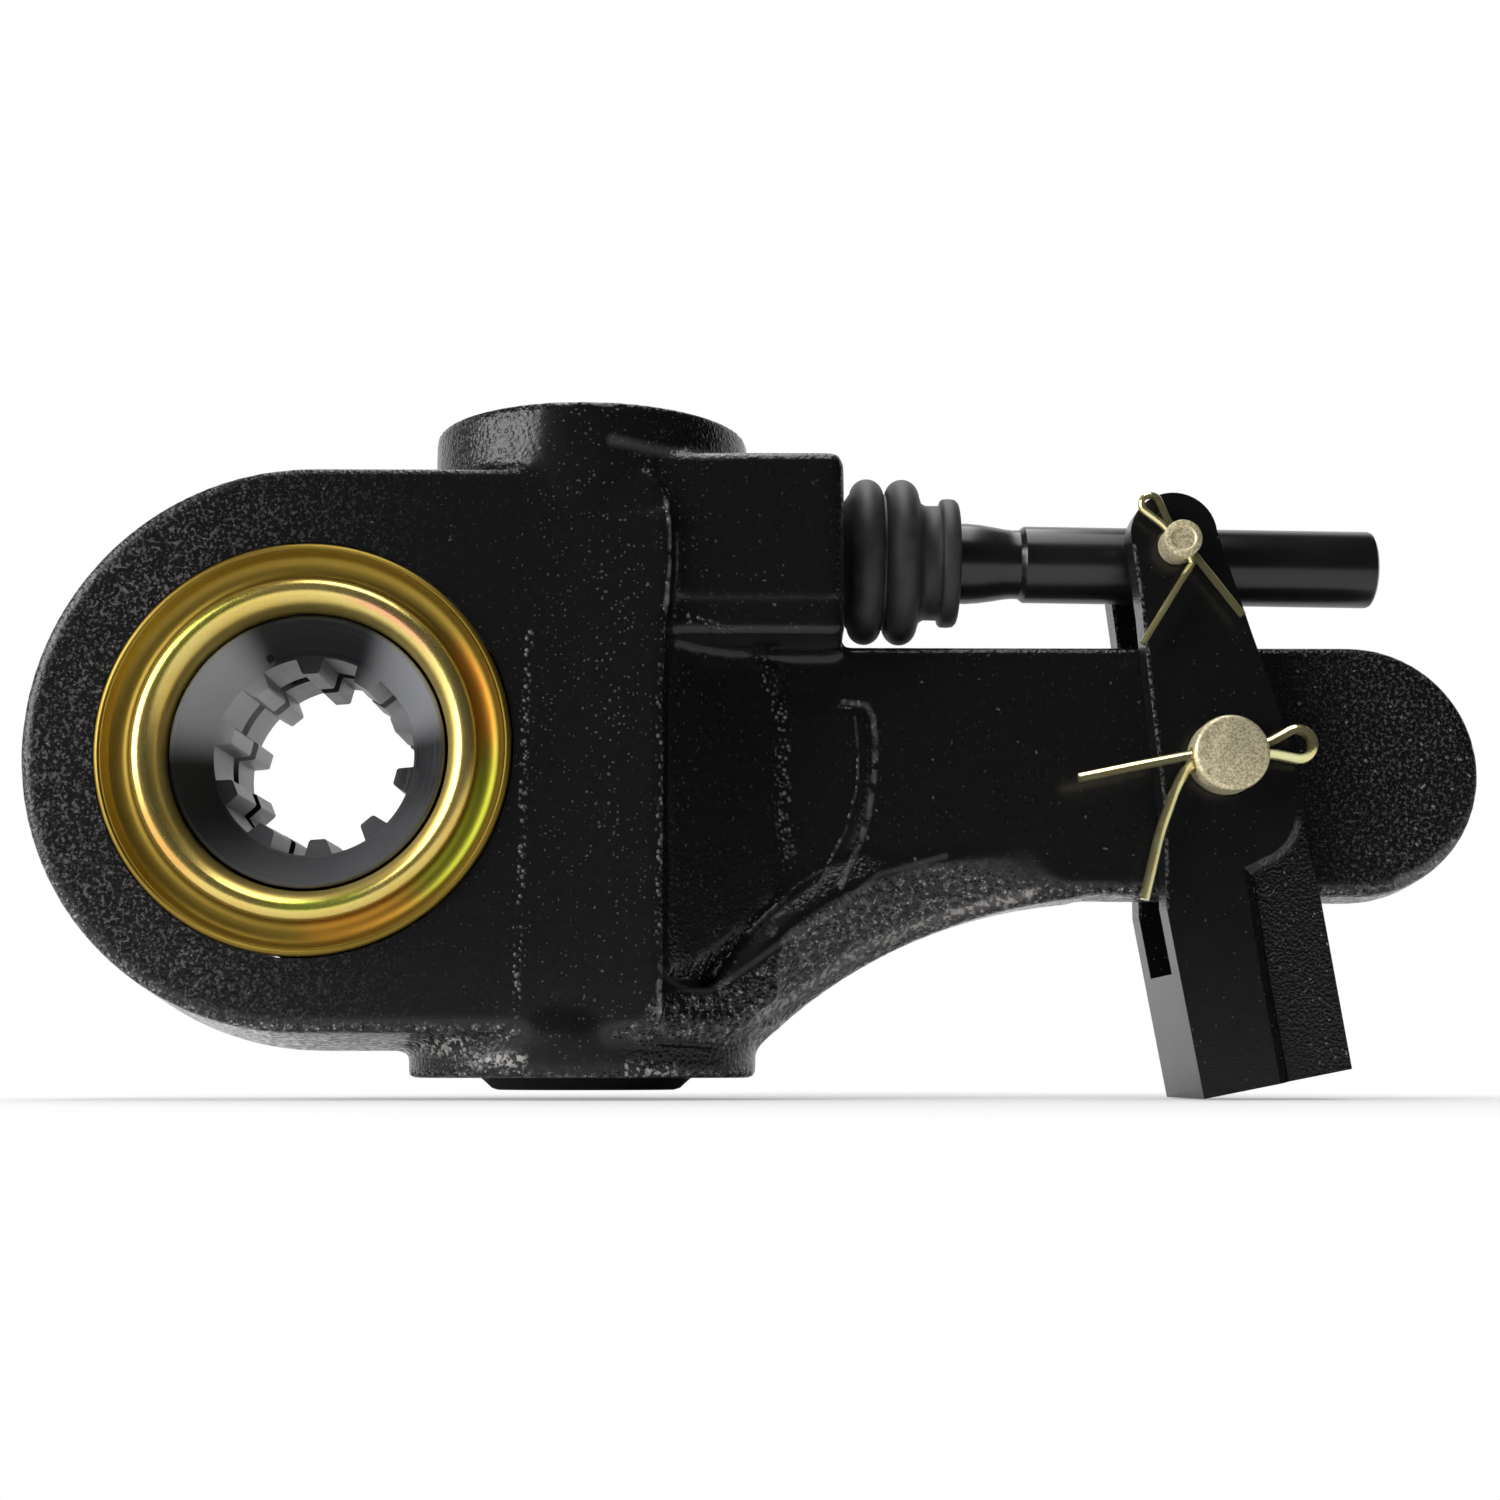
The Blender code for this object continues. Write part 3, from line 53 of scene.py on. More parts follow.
def skin(name, loops):
    """A closed body through a row of loops that have equal numbers of points."""
    mesh = bmesh.new()
    rings = [[mesh.verts.new(point) for point in loop] for loop in loops]
    count = len(loops[0])
    for near, far in zip(rings, rings[1:]):
        for i in range(count):
            j = (i + 1) % count
            mesh.faces.new((near[i], near[j], far[j], far[i]))
    mesh.faces.new(rings[0])
    mesh.faces.new(list(reversed(rings[-1])))
    return as_piece(name, mesh)


def as_piece(name, mesh):
    bmesh.ops.remove_doubles(mesh, verts=mesh.verts, dist=1e-7)
    bmesh.ops.recalc_face_normals(mesh, faces=mesh.faces)
    data = bpy.data.meshes.new(name)
    mesh.to_mesh(data)
    mesh.free()
    piece = bpy.data.objects.new(name, data)
    bpy.context.collection.objects.link(piece)
    return piece


def arc(x, z, radius, start, end, steps):
    angles = [math.radians(start + (end - start) * k / steps) for k in range(steps + 1)]
    return [(x + radius * math.cos(a), z + radius * math.sin(a)) for a in angles]


def settle(piece):
    """Turn the piece's modifiers and place into a plain mesh at the origin."""
    bpy.context.view_layer.update()
    evaluated = piece.evaluated_get(bpy.context.evaluated_depsgraph_get())
    data = bpy.data.meshes.new_from_object(evaluated)
    data.transform(piece.matrix_world)
    piece.modifiers.clear()
    piece.data = data
    piece.matrix_world = Matrix.Identity(4)
    return piece


def join_solids(piece, tools, operation="UNION"):
    """Join or cut with other solids, which are used up."""
    for tool in tools:
        modifier = piece.modifiers.new(operation, "BOOLEAN")
        modifier.operation = operation
        modifier.solver = "EXACT"
        modifier.object = tool
    settle(piece)
    for tool in tools:
        bpy.data.objects.remove(tool, do_unlink=True)
    return piece


def coat(piece, material, angle):
    """Give a piece its one material and smooth shading, with edges over an angle left sharp."""
    piece.data.materials.clear()
    piece.data.materials.append(material)
    piece.data.shade_smooth()
    piece.data.set_sharp_from_angle(angle=math.radians(angle))


def rounded_slab(name, outline_at, half_width, edge, draft):
    """A flat casting: an outline grown to the parting line, with its edges rounded."""
    stations = []
    for k in range(5):
        turn = math.pi / 2 * k / 4
        stations.append((half_width - edge + edge * math.cos(turn), -edge + edge * math.sin(turn)))
    for share in (0.75, 0.5, 0.25):
        stations.append(((half_width - edge) * share, draft * (1 - share)))
    sides = [(-y, grow) for y, grow in stations] + [(0.0, draft)]
    sides += [(y, grow) for y, grow in reversed(stations)]
    return skin(name, [[(x, y, z) for x, z in outline_at(grow)] for y, grow in sides])


def turned(name, profile, place=(0, 0, 0), axis=(0, 0, 1), steps=128):
    """Spin a closed profile of (radius, height) points about an axis through a place."""
    mesh = bmesh.new()
    verts = [mesh.verts.new((radius, 0, height)) for radius, height in profile]
    edges = []
    for near, far in zip(verts, verts[1:] + verts[:1]):
        if near.co.x > 0 or far.co.x > 0:
            edges.append(mesh.edges.new((near, far)))
    bmesh.ops.spin(
        mesh, geom=verts + edges, cent=(0, 0, 0), axis=(0, 0, 1),
        angle=2 * math.pi, steps=steps, use_merge=True, use_duplicate=False,
    )
    bmesh.ops.remove_doubles(mesh, verts=mesh.verts, dist=1e-7)
    turn = Vector((0, 0, 1)).rotation_difference(Vector(axis)).to_matrix().to_4x4()
    turn = turn @ Matrix.Rotation(math.pi / steps, 4, "Z")
    bmesh.ops.transform(mesh, matrix=Matrix.Translation(place) @ turn, verts=mesh.verts)
    return as_piece(name, mesh)


def bore(name, radius, start, end, place=(0, 0, 0), axis=(0, 1, 0), steps=64):
    """A plain cylinder that cuts a hole, from one distance along its axis to another."""
    return turned(name, [(0, start), (radius, start), (radius, end), (0, end)], place, axis, steps)


def mirrored(x, side):
    """A closed loop across the casting from its front half."""
    return [(x, y, z) for y, z in side] + [(x, -y, z) for y, z in reversed(side)]


def oval(x, z, long_r, short_r):
    ring = [math.radians(3.75 * k) for k in range(96)]
    return [(x + long_r * math.cos(a), short_r * math.sin(a), z) for a in ring]


cast_radius = 0.0457
cast_half = 0.026
cast_draft = 0.0027
cast_right = 0.0585
worm_x = 0.045
arm_half = 0.009
arm_top = 0.0202
arm_end_radius = 0.0215
arm_end_x = 0.176
arm_low = arm_top - 2 * arm_end_radius
pin_x = 0.1524


def body_outline(grow):
    right = cast_right + grow
    radius = cast_radius + 0.0003 + grow
    corner = 0.004 + grow / 2
    crown = 0.0009
    points = [(x, z + crown * max(0, z / radius)) for x, z in arc(0, 0, radius, 90, 270, 48)]
    points += arc(right - corner, -radius + corner, corner, -90, 0, 6)
    return points + arc(right - corner, radius + crown - corner, corner, 0, 90, 6)


def strip_outline(grow):
    """Raised strip that runs down the worm housing."""
    right = cast_right + 0.0003 + grow
    left = 0.0360 - grow
    low = -cast_radius - grow
    points = [(left, 0.0442), (left, 0.0425), (left, 0.0385), (left, low + 0.0030)]
    points += arc(left + 0.0030, low + 0.0030, 0.0030, 180, 270, 4)[1:]
    points += arc(right - 0.0030, low + 0.0030, 0.0030, -90, 0, 4)
    points += [(right - 0.0002, 0.0100), (right + 0.0004, 0.0200), (right + 0.0012, 0.0300)]
    return points + [(right + 0.0011, 0.0385), (right + 0.0004, 0.0425), (right, 0.0442)]


def underside_z(x):
    """Height of the arm's curved underside at the parting line."""
    if x >= 0.136:
        return arm_low
    return max(arm_low - 0.088 + math.sqrt(0.088 ** 2 - (0.136 - x) ** 2), -0.0492)


def flank_z(x):
    """Height of the edge where the arm's face breaks into its underside."""
    if x >= 0.116:
        return -0.0155
    run = min(0.116 - x, 0.050)
    return -0.0155 - 0.058 + math.sqrt(0.058 ** 2 - run ** 2)


def arm_outline(grow):
    points = [(worm_x, arm_top + grow), (worm_x, -0.0377)]
    for k in range(19):
        x = 0.0645 + (0.1190 - 0.0645) * k / 18
        points.append((x, flank_z(x) - 0.0005 - grow))
    points += [(0.1212, -0.0178 - grow), (0.1234, -0.0208 - grow)]
    points.append((0.1262, arm_low + 0.0004 - grow))
    return points + arc(arm_end_x, arm_low + arm_end_radius, arm_end_radius + grow, -90, 90, 36)


def flank_sections():
    """Rounded keel under the arm, which widens towards the lower boss."""
    loops = []
    for k in range(25):
        x = 0.0545 + (0.1290 - 0.0545) * k / 24
        edge = flank_z(x)
        drop = edge - underside_z(x)
        full = max(0.0, min(1.0, (x - 0.100) / 0.023))
        half = arm_half + 0.0006 - 0.0008 * full
        half += max(0.0, 0.098 - x) / (0.098 - cast_right) * 0.0108
        side = [(-half + 0.002, edge + 0.005), (-half, edge)]
        for wide, down in ((0.93, 0.20), (0.78, 0.45), (0.55, 0.72), (0.30, 0.90), (0.10, 1.0)):
            wide += full * (0.99 - 0.14 * down ** 6 - wide)
            side.append((-wide * half, edge - down * drop))
        loops.append(mirrored(x, side))
    return loops


def shoulder_sections():
    """Shoulder between the wide worm housing and the arm, steep first and then shallow."""
    loops = []
    for x, half, low, high in (
        (0.0525, 0.0222, -0.0400, 0.0242), (0.0600, 0.0210, -0.0388, 0.0242),
        (0.0635, 0.0184, -0.0378, 0.0236), (0.0670, 0.0158, -0.0352, 0.0222),
        (0.0705, 0.0135, -0.0318, 0.0203), (0.0740, 0.0118, -0.0282, 0.0188),
        (0.0765, 0.0109, -0.0252, 0.0176), (0.0795, 0.0085, -0.0230, 0.0160),
    ):
        cut = half * 0.16
        side = [(-half + cut, low), (-half, low + cut), (-half, high - cut), (-half + cut, high)]
        loops.append(mirrored(x, side))
    return loops


def corner_outline(grow):
    """Web that rounds off the lower end of the pocket beside the strip."""
    points = [(0.0555, -0.0465), (0.0555, -0.0340)]
    points += arc(0.0646, -0.0330, 0.0062 - grow, 195, 285, 10)
    points += [(x, flank_z(x) + 0.0012 + grow) for x in (0.0700, 0.0725, 0.0750, 0.0775)]
    return points + [(0.0775, -0.0400), (0.0700, -0.0465)]


def panel_outline(grow):
    """Low panel beside the shoulder, with a bowed right edge."""
    right = 0.0932 + grow
    points = [(0.0720, 0.0096 + grow), (0.0720, -0.0300), (0.0828, -0.0268 - grow)]
    points += arc(right - 0.040, 0.0005, 0.040, -34, 2, 12)
    return points + arc(right - 0.0035, 0.0061 + grow, 0.0035, 10, 90, 4)


def block_sections():
    """Block that guides the rack, with its underside cut back."""
    loops = []
    corner = 0.0020
    stations = [(0.0465, 0.0), (0.0600, 0.0), (0.0750, 0.0)]
    for k in range(5):
        turn = math.pi / 2 * k / 4
        stations.append((0.0885 - corner + corner * math.sin(turn), corner - corner * math.cos(turn)))
    for x, inset in stations:
        half = 0.024 - inset
        top = 0.0507 - inset
        face_low = 0.0260 + inset * 0.5
        low = 0.0188 + inset * 0.5
        ring = [(-half, face_low + 0.001), (-half, top - corner)]
        ring += [(y, z) for y, z in arc(-half + corner, top - corner, corner, 180, 90, 4)][1:]
        ring += arc(half - corner, top - corner, corner, 90, 0, 4)
        ring += [(half, face_low + 0.001), (half, face_low), (half - 0.0004, face_low - 0.0007)]
        ring += [(half - 0.0004, low + 0.0008), (half * 0.7, low), (-half * 0.7, low)]
        ring += [(-half + 0.0004, low + 0.0008), (-half + 0.0004, face_low - 0.0007)]
        ring.append((-half, face_low))
        loops.append([(x, y, z) for y, z in ring])
    return loops


def lower_boss_sections():
    """Lower boss, as deep as the casting and filleted out to both ends."""
    flare = 0.0045
    root = -cast_radius + 0.001
    stations = [(root + 0.006, flare, -0.0014)]
    for k in range(9):
        turn = math.pi / 2 * k / 8
        stations.append((root - flare * (1 - math.cos(turn)), flare * (1 - math.sin(turn)), 0.0006))
    stations += [(-0.0526, 0.0, 0.0006), (-0.0530, -0.0002, 0.0004), (-0.0532, -0.0006, 0.0)]
    loops = []
    for z, grow, proud in stations:
        loops.append(oval(worm_x - 0.0006, z, 0.0295 + grow, cast_half + proud))
    return loops


def upper_boss_sections():
    """Round upper boss, no wider than the casting until it stands clear of its top."""
    return [oval(worm_x, z, long_r, short_r) for z, long_r, short_r in (
        (0.0300, 0.0290, 0.0250), (0.0380, 0.0296, 0.0259), (0.0440, 0.0298, 0.0265),
        (0.0460, 0.0298, 0.0266), (0.0470, 0.0291, 0.0267), (0.0480, 0.0284, 0.0269),
        (0.0492, 0.0278, 0.0271), (0.0506, 0.0274, 0.0273), (0.0520, 0.02735, 0.02735),
        (0.0576, 0.02735, 0.02735), (0.0580, 0.0271, 0.0271), (0.0582, 0.0267, 0.0267),
    )]


casting = rounded_slab("housing_casting", body_outline, cast_half, 0.0010, cast_draft)
strip = rounded_slab("strip", strip_outline, cast_half + 0.0008, 0.0008, 0.0016)
for vertex in strip.data.vertices:
    if abs(vertex.co.y) > cast_half - 0.0005:
        lean = max(0.0, min(1.0, (vertex.co.x - 0.037) / 0.018))
        lean *= min(1.0, (0.0425 - vertex.co.z) / 0.004)
        sunk = 0.0015 if vertex.co.z > 0.0440 else 0.0003
        vertex.co.y = math.copysign(cast_half - sunk + 0.0011 * max(0.0, lean), vertex.co.y)
corner = rounded_slab("corner", corner_outline, 0.0200, 0.0012, 0.0003)
for vertex in corner.data.vertices:
    vertex.co.y *= 1.03 - (vertex.co.x - 0.0555) / 0.0145 * 0.17
forms = [
    strip,
    corner,
    skin("upper_boss", upper_boss_sections()),
    skin("lower_boss", lower_boss_sections()),
    rounded_slab("arm", arm_outline, arm_half, 0.0014, 0.0006),
    skin("flank", flank_sections()),
    skin("shoulder", shoulder_sections()),
    rounded_slab("panel", panel_outline, arm_half + 0.0008, 0.0008, 0.0004),
    skin("block", block_sections()),
]
whole = bmesh.new()
for form in [casting, *forms]:
    whole.from_mesh(form.data)
for form in forms:
    bpy.data.objects.remove(form, do_unlink=True)
whole.to_mesh(casting.data)
whole.free()
remesh = casting.modifiers.new("cast_skin", "REMESH")
remesh.mode = "VOXEL"
remesh.voxel_size = 0.00085
remesh.use_smooth_shade = True
soften = casting.modifiers.new("fillets", "SMOOTH")
soften.factor = 0.5
soften.iterations = 4
settle(casting)


small_pin = (0.1453, 0.03621)
rod_tilt = math.radians(0.8)


def rod_axis_z(x):
    """Height of the link rod's axis, which falls slightly to the small pin."""
    return small_pin[1] + (small_pin[0] - x) * math.tan(rod_tilt)


bores = [
    bore("wheel_bore", 0.0342, -0.034, 0.034, steps=128),
    turned(
        "worm_bore",
        [
            (0, -0.0572), (0.0182, -0.0572), (0.0182, 0.026), (0.0081, 0.026), (0.0081, 0.0302),
            (0.012, 0.0302), (0.012, 0.0446), (0.02205, 0.0446), (0.02205, 0.0578),
            (0.0227, 0.0586), (0.0227, 0.0622), (0, 0.0622),
        ],
        (worm_x, 0, 0),
    ),
    bore("rod_mouth", 0.0087, 0.068, 0.0925, (0, 0, rod_axis_z(0.0885)), (1, 0, 0)),
    bore("arm_eye", 0.00875, -0.013, 0.013, (pin_x, 0, 0)),
    bore("fitting_hole", 0.0038, 0.0142, 0.030, (worm_x + 0.001, 0, -0.030), steps=32),
    bore("relief_hole", 0.0048, 0.0142, 0.030, (worm_x + 0.001, 0, 0.006), steps=32),
    skin("rack_channel", [
        [(x, -0.0092, rod_axis_z(0.068) - 0.008), (x, 0.0168, rod_axis_z(0.068) - 0.008),
         (x, 0.0168, rod_axis_z(0.068) + 0.008), (x, -0.0092, rod_axis_z(0.068) + 0.008)]
        for x in (0.019, 0.085)
    ]),
]
join_solids(casting, bores, "DIFFERENCE")


class Value:
    """A shader socket that can be added, multiplied and compared like a number."""

    def __init__(self, tree, socket):
        self.tree = tree
        self.socket = socket

    def math(self, operation, first, second):
        node = self.tree.nodes.new("ShaderNodeMath")
        node.operation = operation
        for target, given in zip(node.inputs, (first, second)):
            if isinstance(given, Value):
                self.tree.links.new(given.socket, target)
            else:
                target.default_value = given
        return Value(self.tree, node.outputs[0])

    def __add__(self, other):
        return self.math("ADD", self, other)

    def __sub__(self, other):
        return self.math("SUBTRACT", self, other)

    def __rsub__(self, other):
        return self.math("SUBTRACT", other, self)

    def __mul__(self, other):
        return self.math("MULTIPLY", self, other)

    def __gt__(self, other):
        return self.math("GREATER_THAN", self, other)

    __radd__ = __add__
    __rmul__ = __mul__


class Shading:
    """A tree of shader nodes, built from the kinds that this object's finishes need."""

    def __init__(self, tree, coordinates):
        self.tree = tree
        self.place = self.node("TexCoord", {}, coordinates)

    def node(self, kind, sockets, output=0, **settings):
        """Add a node: its settings first, then the values or links of its sockets."""
        made = self.tree.nodes.new("ShaderNode" + kind)
        for key, given in settings.items():
            setattr(made, key, given)
        for key, given in sockets.items():
            self.feed(made.inputs[key], given)
        return Value(self.tree, made.outputs[output])

    def feed(self, target, given):
        if isinstance(given, Value):
            self.tree.links.new(given.socket, target)
        elif target.type == "RGBA":
            target.default_value = (*given, 1)
        else:
            target.default_value = given

    def vector(self, operation, *points, output="Vector"):
        return self.node("VectorMath", dict(enumerate(points)), output, operation=operation)

    def noise(self, scale, detail=3.0, roughness=0.55, stretch=None):
        place = self.place
        if stretch:
            place = self.node("Mapping", {"Vector": place, "Scale": stretch})
        return self.node(
            "TexNoise", {"Vector": place, "Scale": scale, "Detail": detail, "Roughness": roughness},
        )

    def cells(self, scale):
        return self.node("TexVoronoi", {"Vector": self.place, "Scale": scale}, "Distance")

    def ramp(self, value, low, high, out_low=0.0, out_high=1.0):
        """Carry a value smoothly from one range to another, held at both ends."""
        sockets = {0: value, 1: low, 2: high, 3: out_low, 4: out_high}
        return self.node("MapRange", sockets, interpolation_type="SMOOTHSTEP")

    def mix(self, mask, first, second):
        return self.node("Mix", {0: mask, 6: first, 7: second}, 2, data_type="RGBA")

    def bump(self, height, distance, strength=1.0):
        return self.node("Bump", {"Height": height, "Distance": distance, "Strength": strength})

    def axis(self, name, source=None):
        """One coordinate of a point or of the surface's direction."""
        return self.node("SeparateXYZ", {0: source or self.place}, name)


class Finish(Shading):
    """A material, built on its Principled shader."""

    def __init__(self, name):
        self.material = bpy.data.materials.new(name)
        self.material.use_nodes = True
        super().__init__(self.material.node_tree, "Object")
        self.shader = self.tree.nodes["Principled BSDF"]

    def facing_y(self, facing):
        """How far the surface faces the front or the rear."""
        return self.node("Math", {0: self.axis("Y", facing)}, operation="ABSOLUTE")

    def set(self, **sockets):
        for key, given in sockets.items():
            self.feed(self.shader.inputs[key.replace("_", " ")], given)
        return self.material


def near_line(paint, points, inner, outer):
    """One on a line of (x, z) points seen from the side, falling to nothing at a distance."""
    spot = paint.vector("MULTIPLY", paint.place, (1, 0, 1))
    nearest = None
    for (ax, az), (bx, bz) in zip(points, points[1:]):
        run = Vector((bx - ax, 0, bz - az))
        offset = paint.vector("SUBTRACT", spot, (ax, 0, az))
        along = paint.vector("DOT_PRODUCT", offset, run / run.length_squared, output="Value")
        held = paint.node("Clamp", {0: along})
        on_line = paint.node("VectorMath", {0: run, "Scale": held}, "Vector", operation="SCALE")
        apart = paint.vector("DISTANCE", offset, on_line, output="Value")
        nearest = apart if nearest is None else nearest.math("MINIMUM", nearest, apart)
    return paint.ramp(nearest, inner, outer, 1.0, 0.0)


def near_lines(paint, rows):
    """Several such lines, each with its own strength."""
    return sum(near_line(paint, points, inner, outer) * strength for inner, outer, strength, points in rows)


def about_y(finish):
    """Distance from the Y axis, and the direction away from it."""
    spot = finish.vector("MULTIPLY", finish.place, (1, 0, 1))
    return finish.vector("LENGTH", spot, output="Value"), finish.vector("NORMALIZE", spot)


def fan(finish, away, degrees, spread):
    """One in a direction seen from the front, falling to nothing at an angle from it."""
    toward = (math.cos(math.radians(degrees)), 0, math.sin(math.radians(degrees)))
    facing = finish.vector("DOT_PRODUCT", away, toward, output="Value")
    return finish.ramp(facing, math.cos(math.radians(spread)), 1.0)


def scattered(paint, scale, share, size):
    """Small uneven dots in a share of the cells of a scattered pattern."""
    warp = paint.node("TexNoise", {"Vector": paint.place, "Scale": scale * 1.3, "Detail": 2.0}, "Color")
    moved = paint.vector("MULTIPLY_ADD", warp, [0.9 / scale] * 3, paint.place)
    cell = paint.node("TexVoronoi", {"Vector": moved, "Scale": scale}, "Color")
    distance = Value(paint.tree, cell.socket.node.outputs["Distance"])
    chosen = paint.axis("X", cell)
    width = paint.axis("Y", cell) * 0.6 + 0.4
    dot = paint.ramp(distance - width * size, -0.08, 0.04, 1.0, 0.0)
    return dot * (chosen > 1 - share)


ground_line = [
    (0.0746, -0.0435), (0.0790, -0.0403),
    (0.0834, -0.0377), (0.0869, -0.0352), (0.0916, -0.0317), (0.1010, -0.0275), (0.1104, -0.0247),
    (0.1203, -0.0223),
]
groove_line = [
    (0.0590, -0.0477), (0.0660, -0.0480), (0.0698, -0.0484), (0.0724, -0.0473), (0.0747, -0.0451),
    (0.0791, -0.0420), (0.0870, -0.0366),
]
lip_line = [
    (0.0584, -0.0357), (0.0597, -0.0376), (0.0625, -0.0389), (0.0660, -0.0391), (0.0692, -0.0374),
    (0.0746, -0.0335), (0.0789, -0.0303), (0.0867, -0.0257), (0.0945, -0.0193), (0.1060, -0.0160),
]
band_line = [
    (0.0594, -0.0434), (0.0660, -0.0434), (0.0703, -0.0421), (0.0745, -0.0390), (0.0788, -0.0358),
]
# Painted highlight along the panel's right edge.
thin_highlight_line = [
    (0.0908, 0.0076), (0.0913, 0.0015), (0.0911, -0.0041), (0.0891, -0.0116), (0.0862, -0.0172),
    (0.0834, -0.0233), (0.0816, -0.0254),
]
# Painted highlights along the strip's right ridge, a short edge above the lower boss and the panel's right
# edge; below they are broken into beads like worn flash.
ridge_highlight_rows = [
    (0.0003, 0.0010, 1.0, [(0.0590, 0.0430), (0.0600, 0.0363), (0.0601, 0.0309), (0.0593, 0.0233)]),
    (0.0003, 0.0010, 1.0, [(0.0585, -0.0382), (0.0587, -0.0424), (0.0583, -0.0451), (0.0574, -0.0462)]),
    (0.0002, 0.0012, 0.25, [(0.0574, -0.0462), (0.0536, -0.0462)]),
    (0.0001, 0.0008, 0.6, [(0.0889, 0.0104), (0.0928, 0.0099), (0.0940, 0.0075), (0.0943, 0.0034),
                           (0.0941, -0.0022), (0.0928, -0.0097), (0.0909, -0.0153), (0.0881, -0.0214)]),
]
bead_rows = [
    (0.0003, 0.0012, 0.5, [(0.0594, 0.0232), (0.0663, 0.0208), (0.0757, 0.0178)]),
    (0.0004, 0.0018, 0.7, [(0.0759, 0.0178), (0.0762, 0.0125), (0.0786, 0.0068), (0.0782, -0.0005),
                           (0.0786, -0.0098), (0.0795, -0.0173)]),
    (0.0004, 0.0016, 0.5, [(0.0766, 0.0112), (0.0784, 0.0086)]),
    (0.0002, 0.0010, 0.5, [(0.0593, 0.0210), (0.0581, 0.0113), (0.0582, -0.0286), (0.0587, -0.0350)]),
    (0.0002, 0.0009, 0.4, [(0.0366, 0.0190), (0.0361, 0.0083), (0.0358, -0.0213)]),
    (0.0002, 0.0009, 0.6, [(0.0358, -0.0213), (0.0353, -0.0359), (0.0356, -0.0435)]),
    (0.0002, 0.0009, 0.3, [(0.0664, -0.0293), (0.0710, -0.0284), (0.0765, -0.0256), (0.0820, -0.0242)]),
]
# Painted reflections: pale mottled patches where lamps and the floor show in the glossy paint, on the lower
# boss's rounded front and along the underside.
painted_reflection_rows = [
    (0.0002, 0.0016, 0.5, [(0.0738, -0.0488), (0.0770, -0.0464), (0.0814, -0.0426), (0.0872, -0.0386)]),
    (0.0004, 0.0018, 0.6, [(0.0534, -0.0517), (0.0597, -0.0519)]),
    (0.0004, 0.0018, 0.5, [(0.0286, -0.0506), (0.0359, -0.0503)]),
    (0.0008, 0.0022, 0.6, [(-0.0160, -0.0456), (0.0, -0.0480), (0.0262, -0.0482)]),
]
# Painted highlights: a soft one on the fillet under the upper boss, and a painted reflection of the floor
# along the rounded lower rim of the arm's end.
painted_highlight_rows = [
    (0.0, 0.0016, 0.08, [(0.0500, 0.0515), (0.0560, 0.0505), (0.0680, 0.0500)]),
    (0.0002, 0.0014, 0.18, [(0.1830, -0.0203), (0.1882, -0.0180), (0.1928, -0.0140)]),
]


